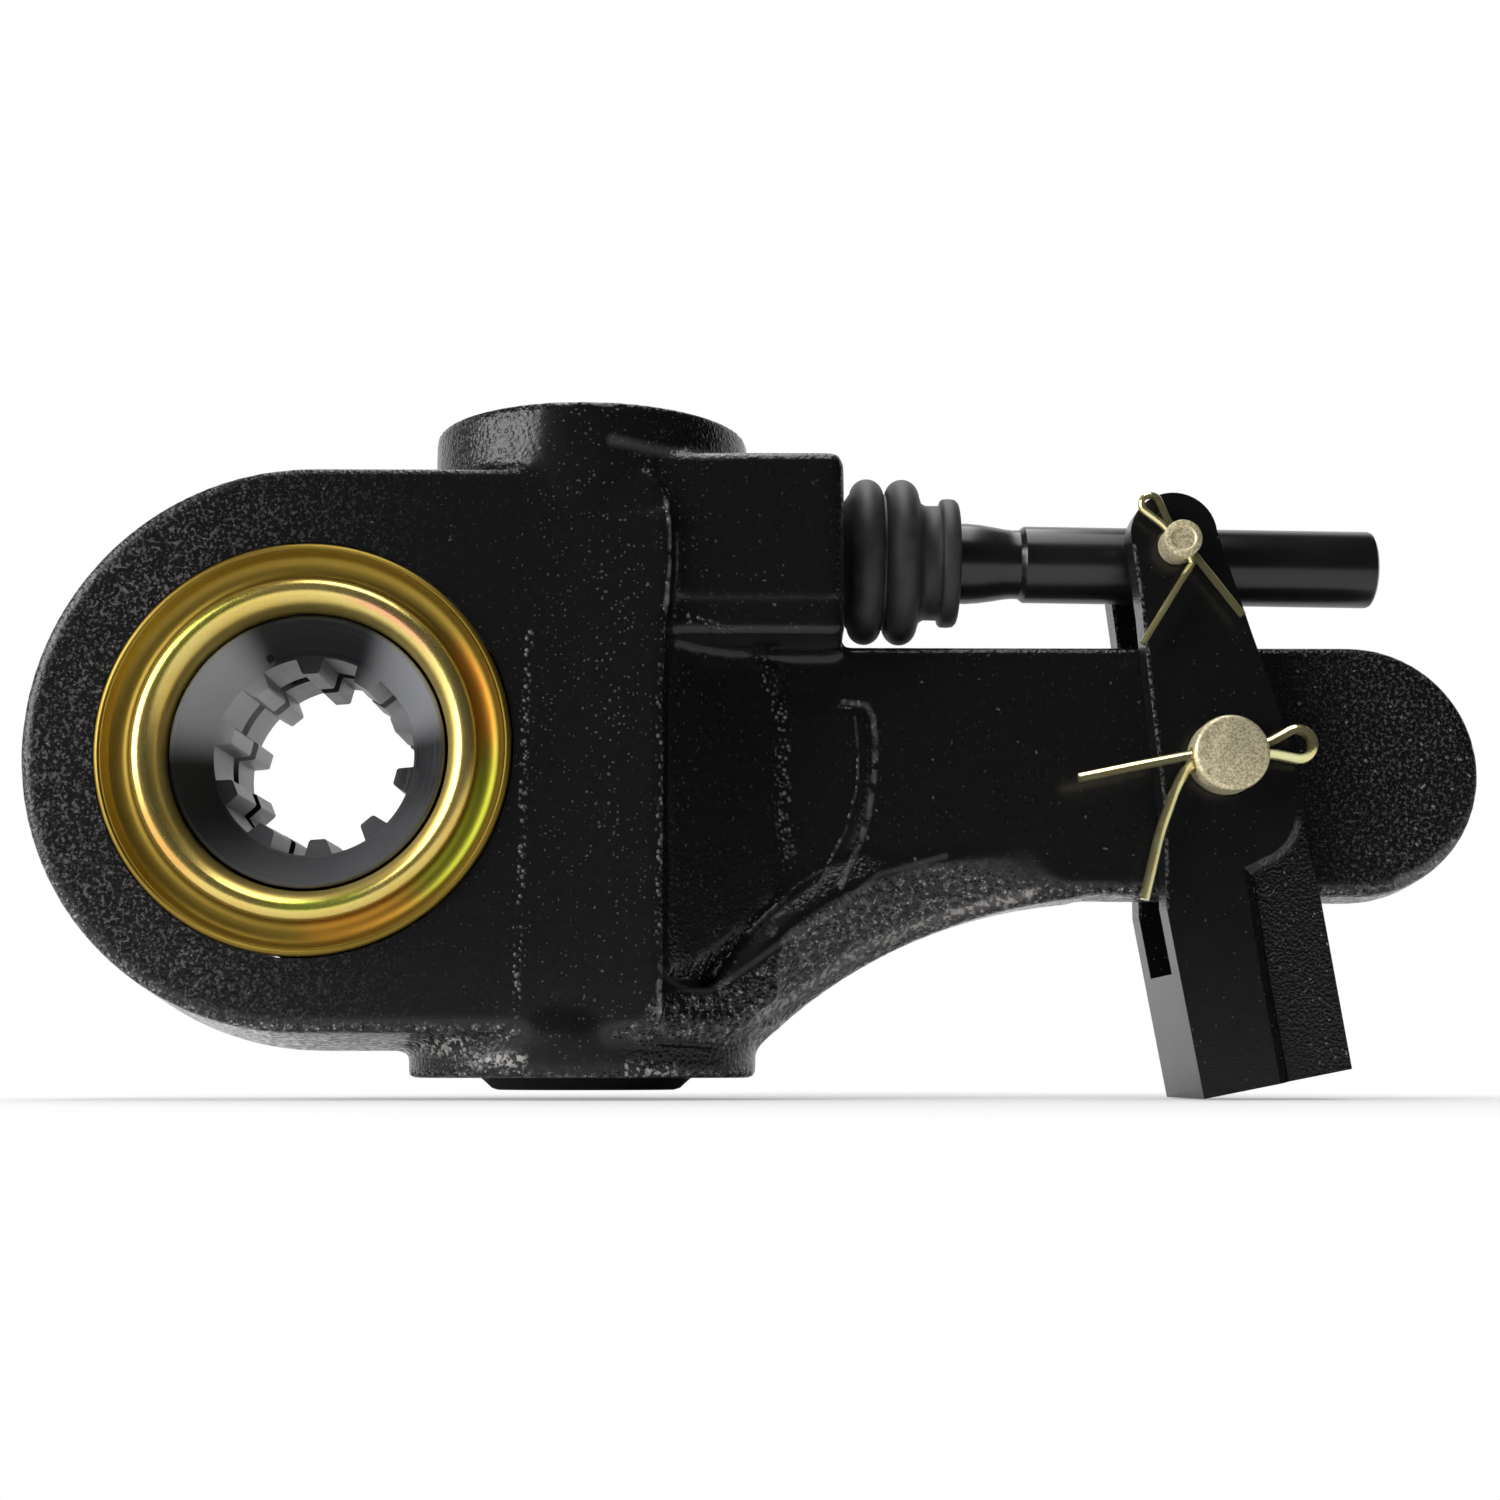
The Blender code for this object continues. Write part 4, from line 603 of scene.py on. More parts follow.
def cast_paint():
    """Black paint over sand-cast iron: glossy pebbles, pale worn grains and worn mould lines, with painted
    highlights on ridges, fillets and rims, painted glints among the grains and pebbles, and painted
    reflections on the lower boss.
    """
    paint = Finish("black_cast_paint")
    facing = paint.node("NewGeometry", {}, "Normal")
    across = paint.axis("X")
    wander = paint.noise(420, 2.0, 0.5)
    grains = paint.noise(1700, 3.0, 0.6)
    blobs = paint.ramp(paint.noise(950, 2.0, 0.6), 0.48, 0.60)
    patches = paint.ramp(paint.noise(60, 3.0, 0.6), 0.35, 0.65)
    pebbles = paint.ramp(paint.cells(1150), 0.0, 0.70, 1.0, 0.0)
    beads = paint.ramp(paint.cells(1100), 0.10, 0.50, 1.0, 0.0)
    low = paint.ramp(paint.axis("Z"), -0.016, -0.006, 1.0, 0.0)
    down = paint.ramp(paint.axis("Z", facing) * -1.0, 0.06, 0.40) * low
    band = down.math("MAXIMUM", down, near_line(paint, band_line, 0.0031, 0.0038))
    facing_side = paint.facing_y(facing)
    flat = paint.ramp(facing_side, 0.90, 0.985)
    sideways = paint.ramp(facing_side, 0.55, 0.85)
    left = paint.ramp(across, -0.030, 0.024, 1.0, 0.0)
    ends = left.math("MAXIMUM", left, paint.ramp(across, 0.160, 0.184, 0.0, 1.0))
    pocket = near_line(paint, [(0.0690, 0.0190), (0.0700, -0.0260)], 0.0085, 0.0120)
    strip = paint.ramp(across, 0.030, 0.040) * paint.ramp(across, 0.058, 0.066, 1.0, 0.0)
    under_block = near_line(paint, [(0.0660, 0.0205), (0.0875, 0.0205)], 0.0046, 0.0056)
    calm = (1 - flat) * (1 - pocket * 0.85) * (1 - under_block * 0.8)

    ridge_highlights = near_lines(paint, ridge_highlight_rows)
    beaded = near_lines(paint, bead_rows)
    thin_highlight = near_line(paint, thin_highlight_line, 0.00005, 0.00035)
    # Pale marks along the edges: partly worn beaded flash, partly painted highlights on the ridges and the
    # panel edge.
    worn_lines_and_highlights = (ridge_highlights * (0.45 + beads * 0.55) + beaded * beads + thin_highlight * (0.1 + beads * 0.2)) * sideways
    lip = near_line(paint, lip_line, 0.0001, 0.0008)
    groove = near_line(paint, groove_line, 0.0002, 0.0006)
    ground = near_line(paint, ground_line, 0.0001, 0.0015) * (0.25 + blobs * 0.75) * (1 - groove)
    painted_reflections = near_lines(paint, painted_reflection_rows)
    painted_highlights = near_lines(paint, painted_highlight_rows)
    # A faint painted glint along the lip's rim.
    painted_highlights += lip * 0.07

    rough = grains * (0.02 + ends * 0.18 + calm * 0.40 + patches * 0.03)
    rough = rough + pebbles * (ends * 0.08 + band * 0.75 + calm * 0.30)
    height = rough * (1 - ground * 0.9) + worn_lines_and_highlights * 1.3 - groove * 0.8
    # Pale specks, grey grit and bright dots: partly dust, partly painted glints, and denser at both ends,
    # where the side light grazes.
    asphalt = paint.ramp(paint.noise(1450, 3.0, 0.7), 0.50, 0.68) * (0.006 + ends * (0.12 + patches * 0.06))
    fine = scattered(paint, 1350, 0.26 + ends * 0.34 + strip * 0.14, 0.34)
    fine = fine * (0.26 + ends * 0.6 + patches * 0.15 + strip * 0.36)
    bright = scattered(paint, 620, 0.08 + ends * 0.26, 0.20) * (0.45 + ends * 0.55)
    specks_and_painted_glints = (asphalt + fine * 0.13 + bright * 0.30) * sideways
    # Pale tops on the underside band's pebbles: worn paint, and painted glints of the floor below.
    pebble_tops_wear_and_glints = blobs * (0.10 + 0.90 * paint.ramp(paint.cells(1500), 0.10, 0.50, 1.0, 0.0))
    # The pale marks: wear and dust together with the painted highlights, glints and reflections above.
    marks_and_painted_light = paint.ramp(wander, 0.35, 0.6) * worn_lines_and_highlights * 0.46 + specks_and_painted_glints + painted_highlights * (0.4 + grains)
    marks_and_painted_light = marks_and_painted_light + ground * (0.30 + grains * 0.5) + pebble_tops_wear_and_glints * band * (1 - ground) * 0.62 + painted_reflections * blobs
    return paint.set(
        Base_Color=paint.mix(marks_and_painted_light * (1 - groove), (0.0065, 0.0065, 0.007), (0.64, 0.61, 0.585)),
        Roughness=0.19 + ground * 0.25 + wander * 0.05,
        Specular_IOR_Level=0.42,
        Coat_Weight=band * (0.15 + blobs * 0.85),
        Coat_Roughness=0.14,
        Normal=paint.bump(height, 0.00030, 1.0),
    )


coat(casting, cast_paint(), 40)
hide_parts("housing")
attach(casting, "root")

# Bushing in the arm's eye: a short steel sleeve, pressed in and left bright.
# Only its ends show, between the arm and the clevis.


def machined_steel():
    """Turned steel with fine tool marks and a thin film of oil."""
    steel = Finish("machined_steel")
    marks = steel.noise(1400, 2.0, 0.6, (1.0, 0.15, 1.0))
    smears = steel.noise(120, 4.0, 0.6)
    return steel.set(
        Base_Color=steel.mix(smears, (0.36, 0.36, 0.37), (0.50, 0.49, 0.47)),
        Metallic=1.0,
        Roughness=0.26 + marks * 0.16,
        Normal=steel.bump(marks, 0.00002, 0.5),
    )


def dress(node, material):
    """Give a node of the frame its finish."""
    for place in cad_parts[node].material_slots:
        place.material = material


bright_steel = machined_steel()
dress("arm_bushing", bright_steel)

# Worm wheel: one turned piece with twenty teeth, a coned mouth at each end and ten splines
# that take the camshaft. Black oxide covers it, and a groove runs round the splines' middle.

wheel_teeth = 20
spline_teeth = 10
spline_major = 0.0167
spline_minor = 0.0140
hub_radius = 0.0226
hub_half = 0.0226
spline_half = 0.0160
groove_front = -0.0010
groove_back = 0.0032


def copies_round_y():
    """Geometry nodes that set copies of a piece round the Y axis, evenly spaced."""
    tree = bpy.data.node_groups.new("copies_round_y", "GeometryNodeTree")
    face = tree.interface
    for name in ("Geometry", "Int", "Material"):
        label = "Count" if name == "Int" else name
        face.new_socket(label, in_out="INPUT", socket_type="NodeSocket" + name)
    face.new_socket("Geometry", in_out="OUTPUT", socket_type="NodeSocketGeometry")
    new = tree.nodes.new
    given = new("NodeGroupInput")
    points = new("GeometryNodePoints")
    index = new("GeometryNodeInputIndex")
    share = new("ShaderNodeMath")
    share.operation = "DIVIDE"
    turn = new("ShaderNodeMath")
    turn.operation = "MULTIPLY"
    turn.inputs[1].default_value = 2 * math.pi
    rotation = new("ShaderNodeCombineXYZ")
    place = new("GeometryNodeInstanceOnPoints")
    realize = new("GeometryNodeRealizeInstances")
    paint = new("GeometryNodeSetMaterial")
    result = new("NodeGroupOutput")
    for source, output, target, socket in (
        (given, "Count", points, "Count"), (index, 0, share, 0), (given, "Count", share, 1),
        (share, 0, turn, 0), (turn, 0, rotation, "Y"), (points, 0, place, "Points"),
        (given, "Geometry", place, "Instance"), (rotation, 0, place, "Rotation"),
        (place, 0, realize, 0), (realize, 0, paint, "Geometry"),
        (given, "Material", paint, "Material"), (paint, 0, result, 0),
    ):
        tree.links.new(source.outputs[output], target.inputs[socket])
    return tree


def repeat_round_y(piece, tree, count, material):
    modifier = piece.modifiers.new("copies", "NODES")
    modifier.node_group = tree
    sizes = {"Count": count, "Material": material}
    for item in tree.interface.items_tree:
        if item.in_out == "INPUT" and item.name in sizes:
            modifier[item.identifier] = sizes[item.name]
    return settle(piece)


def black_oxide():
    """Black oxide on turned steel: satin, with faint turning marks round the bore and painted sheen in fans
    across the coned face.
    """
    oxide = Finish("black_oxide")
    from_axis, away = about_y(oxide)
    # Painted sheen: pale fans at the upper left and upper right of the coned face and a faint one below,
    # standing in for the lamps' glint on the turning marks.
    painted_sheen = fan(oxide, away, 149, 38) + fan(oxide, away, 34, 32) * 0.5
    painted_sheen += fan(oxide, away, -80, 70) * 0.14
    painted_sheen = painted_sheen * oxide.ramp(from_axis, 0.0228, 0.0232, 1.0, 0.0)
    punch = near_line(oxide, [(-0.0075, 0.0162), (-0.0074, 0.0163)], 0.0004, 0.0007)
    rings = oxide.node("TexNoise", {"W": from_axis, "Scale": 9000, "Detail": 2.0}, noise_dimensions="1D")
    smears = oxide.noise(300, 4.0, 0.6)
    marks_and_painted_light = oxide.mix(painted_sheen * (0.7 + rings * 0.4), (0.010, 0.011, 0.013), (0.46, 0.47, 0.50))
    return oxide.set(
        Base_Color=oxide.mix(punch, marks_and_painted_light, (0.002, 0.002, 0.002)),
        Roughness=0.28 + smears * 0.14,
        Specular_IOR_Level=0.4,
        Normal=oxide.bump(rings * 0.8 + smears * 0.2 - punch * 4.0, 0.00006, 1.0),
    )


def wheel_tooth():
    """One tooth of the rim, slanted to follow the worm's thread."""
    loops = []
    for k in range(7):
        y = -0.009 + 0.018 * k / 6
        slant = -y * 0.1 / 0.030
        loop = []
        for radius, half in ((0.0255, 0.0034), (0.0264, 0.0031), (0.0300, 0.00205), (0.0324, 0.0012),
                             (0.0327, 0.0008)):
            loop.append((radius, slant - half / radius))
        loop += [(radius, 2 * slant - angle) for radius, angle in reversed(loop)]
        first = math.radians(9)
        loops.append([(r * math.cos(a + first), y, r * math.sin(a + first)) for r, a in loop])
    return skin("wheel_tooth", loops)


def spline_tooth():
    """One spline tooth, from the root inside the hub to its narrow tip."""
    middle = math.radians(-86)
    tip, base = 0.00138, 0.00233
    outline = [(0.0182, -base), (spline_major, -base), (spline_minor + 0.0003, -tip - 0.0001)]
    outline += [(spline_minor, -tip + 0.0002), (spline_minor, tip - 0.0002)]
    outline += [(spline_minor + 0.0003, tip + 0.0001), (spline_major, base), (0.0182, base)]
    along = (math.cos(middle), math.sin(middle))
    loops = []
    for y in (-spline_half, spline_half):
        loops.append([(r * along[0] - s * along[1], y, r * along[1] + s * along[0]) for r, s in outline])
    return skin("spline_tooth", loops)


oxide_finish = black_oxide()
round_copies = copies_round_y()
cone_radius = hub_radius - 0.0007
hub_profile = [
    (spline_major, -spline_half), (spline_major + 0.0003, -spline_half), (cone_radius, -hub_half),
    (hub_radius - 0.0003, -hub_half), (hub_radius, -hub_half + 0.0003), (hub_radius, -0.0092),
    (0.0262, -0.0088), (0.0262, 0.0088), (hub_radius, 0.0092), (hub_radius, hub_half - 0.0003),
    (hub_radius - 0.0003, hub_half), (cone_radius, hub_half), (spline_major + 0.0003, spline_half),
    (spline_major, spline_half), (spline_major, groove_back), (spline_major + 0.0016, groove_back),
    (spline_major + 0.0016, groove_front), (spline_major, groove_front),
]
wheel = turned("worm_wheel_hub", hub_profile, axis=(0, 1, 0), steps=180)
rim = repeat_round_y(wheel_tooth(), round_copies, wheel_teeth, oxide_finish)
splines = repeat_round_y(spline_tooth(), round_copies, spline_teeth, oxide_finish)
middle_cut = [(0.0100, groove_front), (0.0185, groove_front), (0.0185, groove_back), (0.0100, groove_back)]
join_solids(splines, [turned("spline_groove", middle_cut, axis=(0, 1, 0), steps=180)], "DIFFERENCE")
join_solids(wheel, [rim, splines])
coat(wheel, oxide_finish, 30)
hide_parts("worm_wheel")
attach(wheel, "wheel")

# Cover rings: thin steel pressings, zinc plated and given a bright yellow chromate.
# A rim sits in the bore, then come a groove, a round roll and a slope down to the hub.


def ring_profile():
    """Pressed section: thin rim, wide channel, broad round roll, and a slope down to the hub."""
    front = cast_half + 0.001
    inner = hub_radius + 0.0005
    top = [(0.0339, front - 0.0050), (0.0339, front - 0.0010), (0.0338, front - 0.0004)]
    top += [(0.0335, front - 0.0001), (0.0332, front), (0.0329, front - 0.0003), (0.0327, front - 0.0002)]
    top += [(0.0324, front - 0.0007), (0.0320, front - 0.0015), (0.0315, front - 0.0020)]
    top += [(0.0306, front - 0.0023), (0.0298, front - 0.0024), (0.0291, front - 0.0023)]
    top += [(0.0286, front - 0.0020), (0.0282, front - 0.0015)]
    top += arc(0.0264, front - 0.0022, 0.0021, 28, 124, 16)
    top += [(0.0247, front - 0.0009), (0.0242, front - 0.0014), (0.0238, front - 0.0021)]
    top += [(0.0234, front - 0.0031), (inner, front - 0.0050)]
    under = [(inner, front - 0.0060), (0.0235, front - 0.0041), (0.0243, front - 0.0024)]
    under += arc(0.0264, front - 0.0026, 0.0014, 130, 40, 6)
    under += [(0.0284, front - 0.0030), (0.0298, front - 0.0034), (0.0315, front - 0.0031)]
    return top + under + [(0.0325, front - 0.0018), (0.0328, front - 0.0050)]


def yellow_chromate():
    """Bright yellow chromate: gold, with a thicker film in the channel that shows green and orange."""
    plate = Finish("yellow_chromate")
    from_axis, away = about_y(plate)
    drift = plate.noise(40, 3.0, 0.6)
    channel = plate.ramp(from_axis, 0.0279, 0.0287)
    slope = plate.ramp(from_axis, 0.0246, 0.0256, 1.0, 0.0)
    gold = plate.mix(plate.ramp(drift, 0.35, 0.65), (0.84, 0.62, 0.17), (0.82, 0.67, 0.22))
    gold = plate.mix(channel, gold, plate.mix(drift, (0.24, 0.15, 0.022), (0.31, 0.22, 0.036)))
    for color, degrees, spread, inner, outer in (
        ((0.62, 0.26, 0.03), 17, 24, 0.0286, 0.0312), ((0.27, 0.30, 0.02), -26, 34, 0.0285, 0.0318),
        ((0.56, 0.26, 0.03), -71, 24, 0.0284, 0.0315), ((0.90, 0.45, 0.24), 56, 24, 0.0252, 0.0264),
        ((0.70, 0.76, 0.10), -84, 26, 0.0250, 0.0266), ((0.84, 0.40, 0.10), 212, 26, 0.0266, 0.0276),
        ((0.66, 0.62, 0.10), 136, 36, 0.0258, 0.0280),
    ):
        belt = plate.ramp(from_axis, inner - 0.0005, inner + 0.0005)
        belt = belt * plate.ramp(from_axis, outer - 0.0005, outer + 0.0005, 1.0, 0.0)
        gold = plate.mix(fan(plate, away, degrees, spread) * belt * (0.6 + drift * 0.6), gold, color)
    grain = plate.noise(2600, 3.0, 0.6)
    wear = plate.noise(300, 3.0, 0.55)
    return plate.set(
        Base_Color=plate.mix(plate.ramp(grain, 0.45, 0.80, 0.0, 0.22), gold, (0.40, 0.26, 0.06)),
        Metallic=0.92,
        Roughness=0.22 + wear * 0.08 + channel * 0.16 + slope * 0.10,
        Normal=plate.bump(grain * 0.7 + wear * 0.3, 0.000016, 0.7),
    )


chromate = yellow_chromate()
for side, word in ((-1, "front"), (1, "rear")):
    ring = turned(f"{word}_pressed_ring", ring_profile(), axis=(0, side, 0), steps=256)
    coat(ring, chromate, 50)
    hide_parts(f"{word}_cover_ring")
    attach(ring, "root")

# Hub seals and the plug's seal: plain rubber cords, hidden behind the rings and the plug.
# They take the boot's rubber.


def moulded_rubber():
    """Matte black rubber with a faint bloom and mould dust."""
    rubber = Finish("moulded_rubber")
    bloom = rubber.noise(240, 4.0, 0.6)
    pores = rubber.noise(1800, 2.0, 0.5)
    return rubber.set(
        Base_Color=rubber.mix(rubber.ramp(bloom, 0.4, 0.7), (0.028, 0.028, 0.029), (0.045, 0.045, 0.046)),
        Roughness=0.46 + bloom * 0.16,
        Specular_IOR_Level=0.5,
        Normal=rubber.bump(pores * 0.5 + bloom * 0.5, 0.00004, 0.5),
    )


boot_rubber = moulded_rubber()
for node in ("front_hub_seal", "rear_hub_seal", "plug_seal"):
    dress(node, boot_rubber)

# Worm shaft with its washer, the rack train and the clutch: machined steel inside the casting.
# The springs are drawn wire, and only the shaft's hexagon shows, in the plug.


def drawn_wire():
    wire = Finish("drawn_spring_wire")
    film = wire.noise(500, 3.0, 0.5)
    return wire.set(
        Base_Color=wire.mix(film, (0.17, 0.17, 0.19), (0.27, 0.26, 0.26)),
        Metallic=1.0,
        Roughness=0.32 + film * 0.12,
    )


spring_wire = drawn_wire()
for node in ("worm_shaft", "worm_thrust_washer", "drive_pinion", "clutch_hub", "rack", "rack_pin"):
    dress(node, bright_steel)
for node in ("clutch_spring", "adjuster_spring"):
    dress(node, spring_wire)

# Bottom plug: a turned steel disc, pressed into the lower boss round the hexagon.
# Its face is slightly coned, and a square shoulder seats it on the boss's mouth.

plug_profile = [
    (0.0076, -0.0552), (0.0150, -0.0552), (0.0160, -0.0549), (0.0172, -0.0538), (0.0179, -0.0532),
    (0.0179, -0.0527), (0.0179, -0.0412), (0.0095, -0.0412), (0.0095, -0.0492), (0.0076, -0.0492),
]
plug = turned("bottom_plug_disc", plug_profile, (worm_x, 0, 0), steps=96)
coat(plug, oxide_finish, 30)
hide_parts("bottom_plug")
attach(plug, "root")

# Top cap: a domed pressing that closes the upper bore, held down by a round-wire snap ring.
# Both sit below the boss's rim.

cap_profile = [
    (0, 0.0530), (0.0215, 0.0530), (0.0216, 0.0531), (0.0216, 0.0546), (0.0213, 0.0548),
    (0.0162, 0.0548), (0.0154, 0.0550), (0.0146, 0.0556), (0.0138, 0.0560), (0.0080, 0.0563),
    (0, 0.0564),
]
cap = turned("top_cap_disc", cap_profile, (worm_x, 0, 0), steps=128)
coat(cap, oxide_finish, 30)
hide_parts("top_cap")
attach(cap, "root")
dress("cap_retaining_ring", spring_wire)

# Boot: a moulded rubber bellows with two folds, a straight cuff and a rolled lip.
# Its left end seals on the block and its cuff grips the rod.

block_right = 0.0885
boot_right = 0.1094


def boot_profile():
    fold = 0.0030
    crest = 0.0146 - fold
    first = 0.0003 + 0.0014 + fold
    second = first + 2 * fold + 0.0002
    outer = [(0.0086, 0.0003), (0.0102, 0.0003), (0.0106, 0.0008)]
    for middle in (first, second):
        for k in range(15):
            turn = math.radians(8 + 164 * k / 14)
            outer.append((crest + fold * math.sin(turn), middle - (fold - 0.00005) * math.cos(turn)))
    cuff = second + fold
    end = boot_right - block_right
    outer += [(0.0106, cuff + 0.0004), (0.0101, cuff + 0.0012), (0.0101, end - 0.0034)]
    outer += [(0.0104, end - 0.0032), (0.0110, end - 0.0031), (0.0113, end - 0.0027)]
    outer += [(0.01135, end - 0.0016), (0.0112, end - 0.0006), (0.0107, end - 0.0001), (0.0104, end)]
    inner = 0.0079
    return outer + [(inner + 0.0003, end), (inner, end - 0.0003), (inner, cuff), (0.0086, first)]


boot = turned("rod_bellows", boot_profile(), steps=128)
boot.data.transform(Matrix.Translation((block_right, 0, rod_axis_z(block_right)))
                    @ Matrix.Rotation(math.radians(90) + rod_tilt, 4, "Y"))
coat(boot, boot_rubber, 60)
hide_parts("rod_boot")
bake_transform(boot)

# Link rod: a black steel rod that hangs on the rack's fork and carries the small pin.
# A swaged neck behind the boot ends in a sharp step, and its right end is chamfered.

rod_left = 0.068
rod_right = 0.1827
small_pin_r = 0.003175


def black_bar():
    """Smooth black finish on drawn bar, with long faint streaks."""
    bar = Finish("black_bar")
    streaks = bar.noise(900, 3.0, 0.55, (0.08, 1.0, 1.0))
    stains = bar.noise(110, 3.0, 0.6)
    return bar.set(
        Base_Color=bar.mix(stains, (0.006, 0.006, 0.007), (0.013, 0.013, 0.014)),
        Roughness=0.18 + stains * 0.12,
        Specular_IOR_Level=0.6,
        Normal=bar.bump(streaks, 0.00002, 0.4),
    )


rod_length = (rod_right - rod_left) / math.cos(rod_tilt)
rod_profile = [(0, 0.0062), (0.0056, 0.0062), (0.0071, 0.0077), (0.0071, 0.0430), (0.0069, 0.0455)]
rod_profile += [(0.00655, 0.0478), (0.0062, 0.0498), (0.00605, 0.0512), (0.00608, 0.0523)]
rod_profile += [(0.00655, 0.0529), (0.00675, 0.0532), (0.00675, rod_length - 0.0010)]
rod_profile += [(0.00655, rod_length - 0.0004), (0.0059, rod_length), (0, rod_length)]
rod = turned("link_bar", rod_profile, steps=96)
eye_points = arc(0, 0, 0.0052, 60, 300, 32) + [(0.0082, -0.0045), (0.0082, 0.0045)]
eye = skin("rod_eye", [[(x, y, z) for x, z in eye_points] for y in (-0.0036, 0.0036)])
rod.data.transform(Matrix.Rotation(math.radians(90), 4, "Y"))
eye_hole = bore("eye_hole", 0.0021, -0.02, 0.02, steps=32)
pin_reach = (small_pin[0] - rod_left) / math.cos(rod_tilt)
pin_hole = bore("pin_hole", small_pin_r + 0.0013, -0.02, 0.02, (pin_reach, 0, 0), steps=48)
join_solids(rod, [eye])
join_solids(rod, [eye_hole, pin_hole], "DIFFERENCE")
rod.data.transform(Matrix.Translation((rod_left, 0, rod_axis_z(rod_left)))
                   @ Matrix.Rotation(rod_tilt, 4, "Y"))
coat(rod, black_bar(), 30)
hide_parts("link_rod")
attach(rod, "link")

# Clevis: a forged steel fork, painted black, with two flat ears over a solid block.
# It straddles the arm, and the block below is bored along its length for the pushrod.

clevis_lean = math.radians(-11.1)
clevis_half = 0.016
clevis_low = -0.0546
pin_spacing = 0.0369
large_pin_r = 0.00635
pin_play = 0.0003
clevis_place = Matrix.Translation((pin_x, 0, 0)) @ Matrix.Rotation(clevis_lean, 4, "Y")


def fork_outline():
    """Side view about the large pin: ears that taper to a round top, and the wider block."""
    points = arc(0.0000, pin_spacing + 0.0020, 0.0074, -6, 186, 24)
    points += [(-0.0082, 0.0270), (-0.0095, 0.0165), (-0.0108, 0.0040), (-0.0118, -0.0060)]
    points += [(-0.0136, -0.0150), (-0.0151, -0.0225), (-0.0159, clevis_low)]
    points += [(0.0096, clevis_low), (0.0109, -0.0266), (0.0108, -0.0170)]
    points += [(0.0112, -0.0080), (0.0111, 0.0), (0.0106, 0.0080), (0.0092, 0.0200)]
    return points


def recess_outline(grow):
    """Lower right corner of each side, left rough and lower than the ear."""
    points = [(0.03, -0.0105), (0.03, clevis_low - 0.005), (-0.0014 - grow, clevis_low - 0.005)]
    points += [(-0.0004 - grow, -0.0365), (0.0008 - grow, -0.0205 + grow)]
    return points + arc(0.0015, -0.0095, 0.0101 - grow, -86, -12, 10)


def forged_paint():
    """Black paint on the forging: satin on the ears, pebbled on the recess, worn along its edges, with a
    painted highlight along the recess lip.
    """
    paint = Finish("black_forged_paint")
    rough_part = paint.node("Attribute", {}, "Fac", attribute_name="rough_side")
    facing = paint.node("NewGeometry", {}, "Normal")
    sideways = paint.facing_y(facing)
    left_side = paint.ramp(paint.axis("X", facing) * -1.0, 0.5, 0.9)
    edge = [clevis_place @ Vector((x, 0, z)) for x, z in fork_outline()[24:31]]
    lip = [clevis_place @ Vector((x, 0, z)) for x, z in recess_outline(0.0010)[5:-1]]
    edge_wear_and_lip_highlight = near_line(paint, [(point.x, point.z) for point in edge], 0.0002, 0.0008)
    # Painted highlight along the recess's curved lip, at half strength.
    edge_wear_and_lip_highlight += near_line(paint, [(point.x, point.z) for point in lip], 0.0002, 0.0012) * 0.5
    pebbles = paint.ramp(paint.cells(1700), 0.0, 0.8, 1.0, 0.0)
    grains = paint.noise(2400, 3.0, 0.6)
    beads = paint.ramp(paint.noise(1500, 2.0, 0.6), 0.44, 0.62)
    specks = scattered(paint, 1500, 0.10 + rough_part * 0.55, 0.30) * (0.18 + rough_part * 0.32)
    marks_and_painted_light = specks * paint.ramp(sideways, 0.3, 0.9)
    marks_and_painted_light += edge_wear_and_lip_highlight * beads * paint.ramp(sideways, 0.25, 0.5) * 0.42
    height = pebbles * rough_part * 0.5 + grains * (0.10 + rough_part * 0.45 + left_side * 0.5)
    return paint.set(
        Base_Color=paint.mix(marks_and_painted_light, (0.006, 0.006, 0.0065), (0.36, 0.36, 0.36)),
        Roughness=0.20 + paint.noise(200, 3.0, 0.6) * 0.08,
        Specular_IOR_Level=0.42,
        Normal=paint.bump(height + edge_wear_and_lip_highlight * beads * 0.5, 0.00014, 1.0),
    )


fork = skin("clevis_fork", [
    [(x, y, z) for x, z in fork_outline()] for y in (-clevis_half, clevis_half)
])
fork_cuts = [
    skin("fork_slot", [[(-0.03, y, -0.0336), (0.03, y, -0.0336), (0.03, y, 0.06), (-0.03, y, 0.06)]
                       for y in (-0.0096, 0.0096)]),
    turned("stud_bore", [(0, -0.065), (0.0081, -0.065), (0.0081, -0.0555), (0.00735, -0.0536),
                         (0.00735, -0.028), (0, -0.028)], (-0.0028, 0, 0), steps=64),
    bore("large_pin_bore", large_pin_r + pin_play, -0.03, 0.03),
    bore("small_pin_bore", small_pin_r + pin_play, -0.03, 0.03, (0, 0, pin_spacing), steps=48),
]
for side in (-1, 1):
    levels = [(0.0142, 0.0), (0.0150, 0.0005), (0.0166, 0.0026)]
    fork_cuts.append(skin("fork_recess", [
        [(x, side * y, z) for x, z in recess_outline(grow)] for y, grow in levels
    ]))
join_solids(fork, fork_cuts, "DIFFERENCE")
breaks = fork.modifiers.new("broken_edges", "BEVEL")
breaks.width = 0.00035
breaks.segments = 3
breaks.limit_method = "ANGLE"
breaks.angle_limit = math.radians(38)
breaks.harden_normals = True
settle(fork)
rough_side = fork.data.attributes.new("rough_side", "FLOAT", "POINT")
for vertex, value in zip(fork.data.vertices, rough_side.data):
    low_corner = vertex.co.x > 0.0 and vertex.co.z < -0.012 and abs(vertex.co.y) < 0.0152
    value.value = 1.0 if low_corner else 0.0
fork.data.transform(clevis_place)
fork.data.materials.clear()
fork.data.materials.append(forged_paint())
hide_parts("clevis")
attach(fork, "clevis")

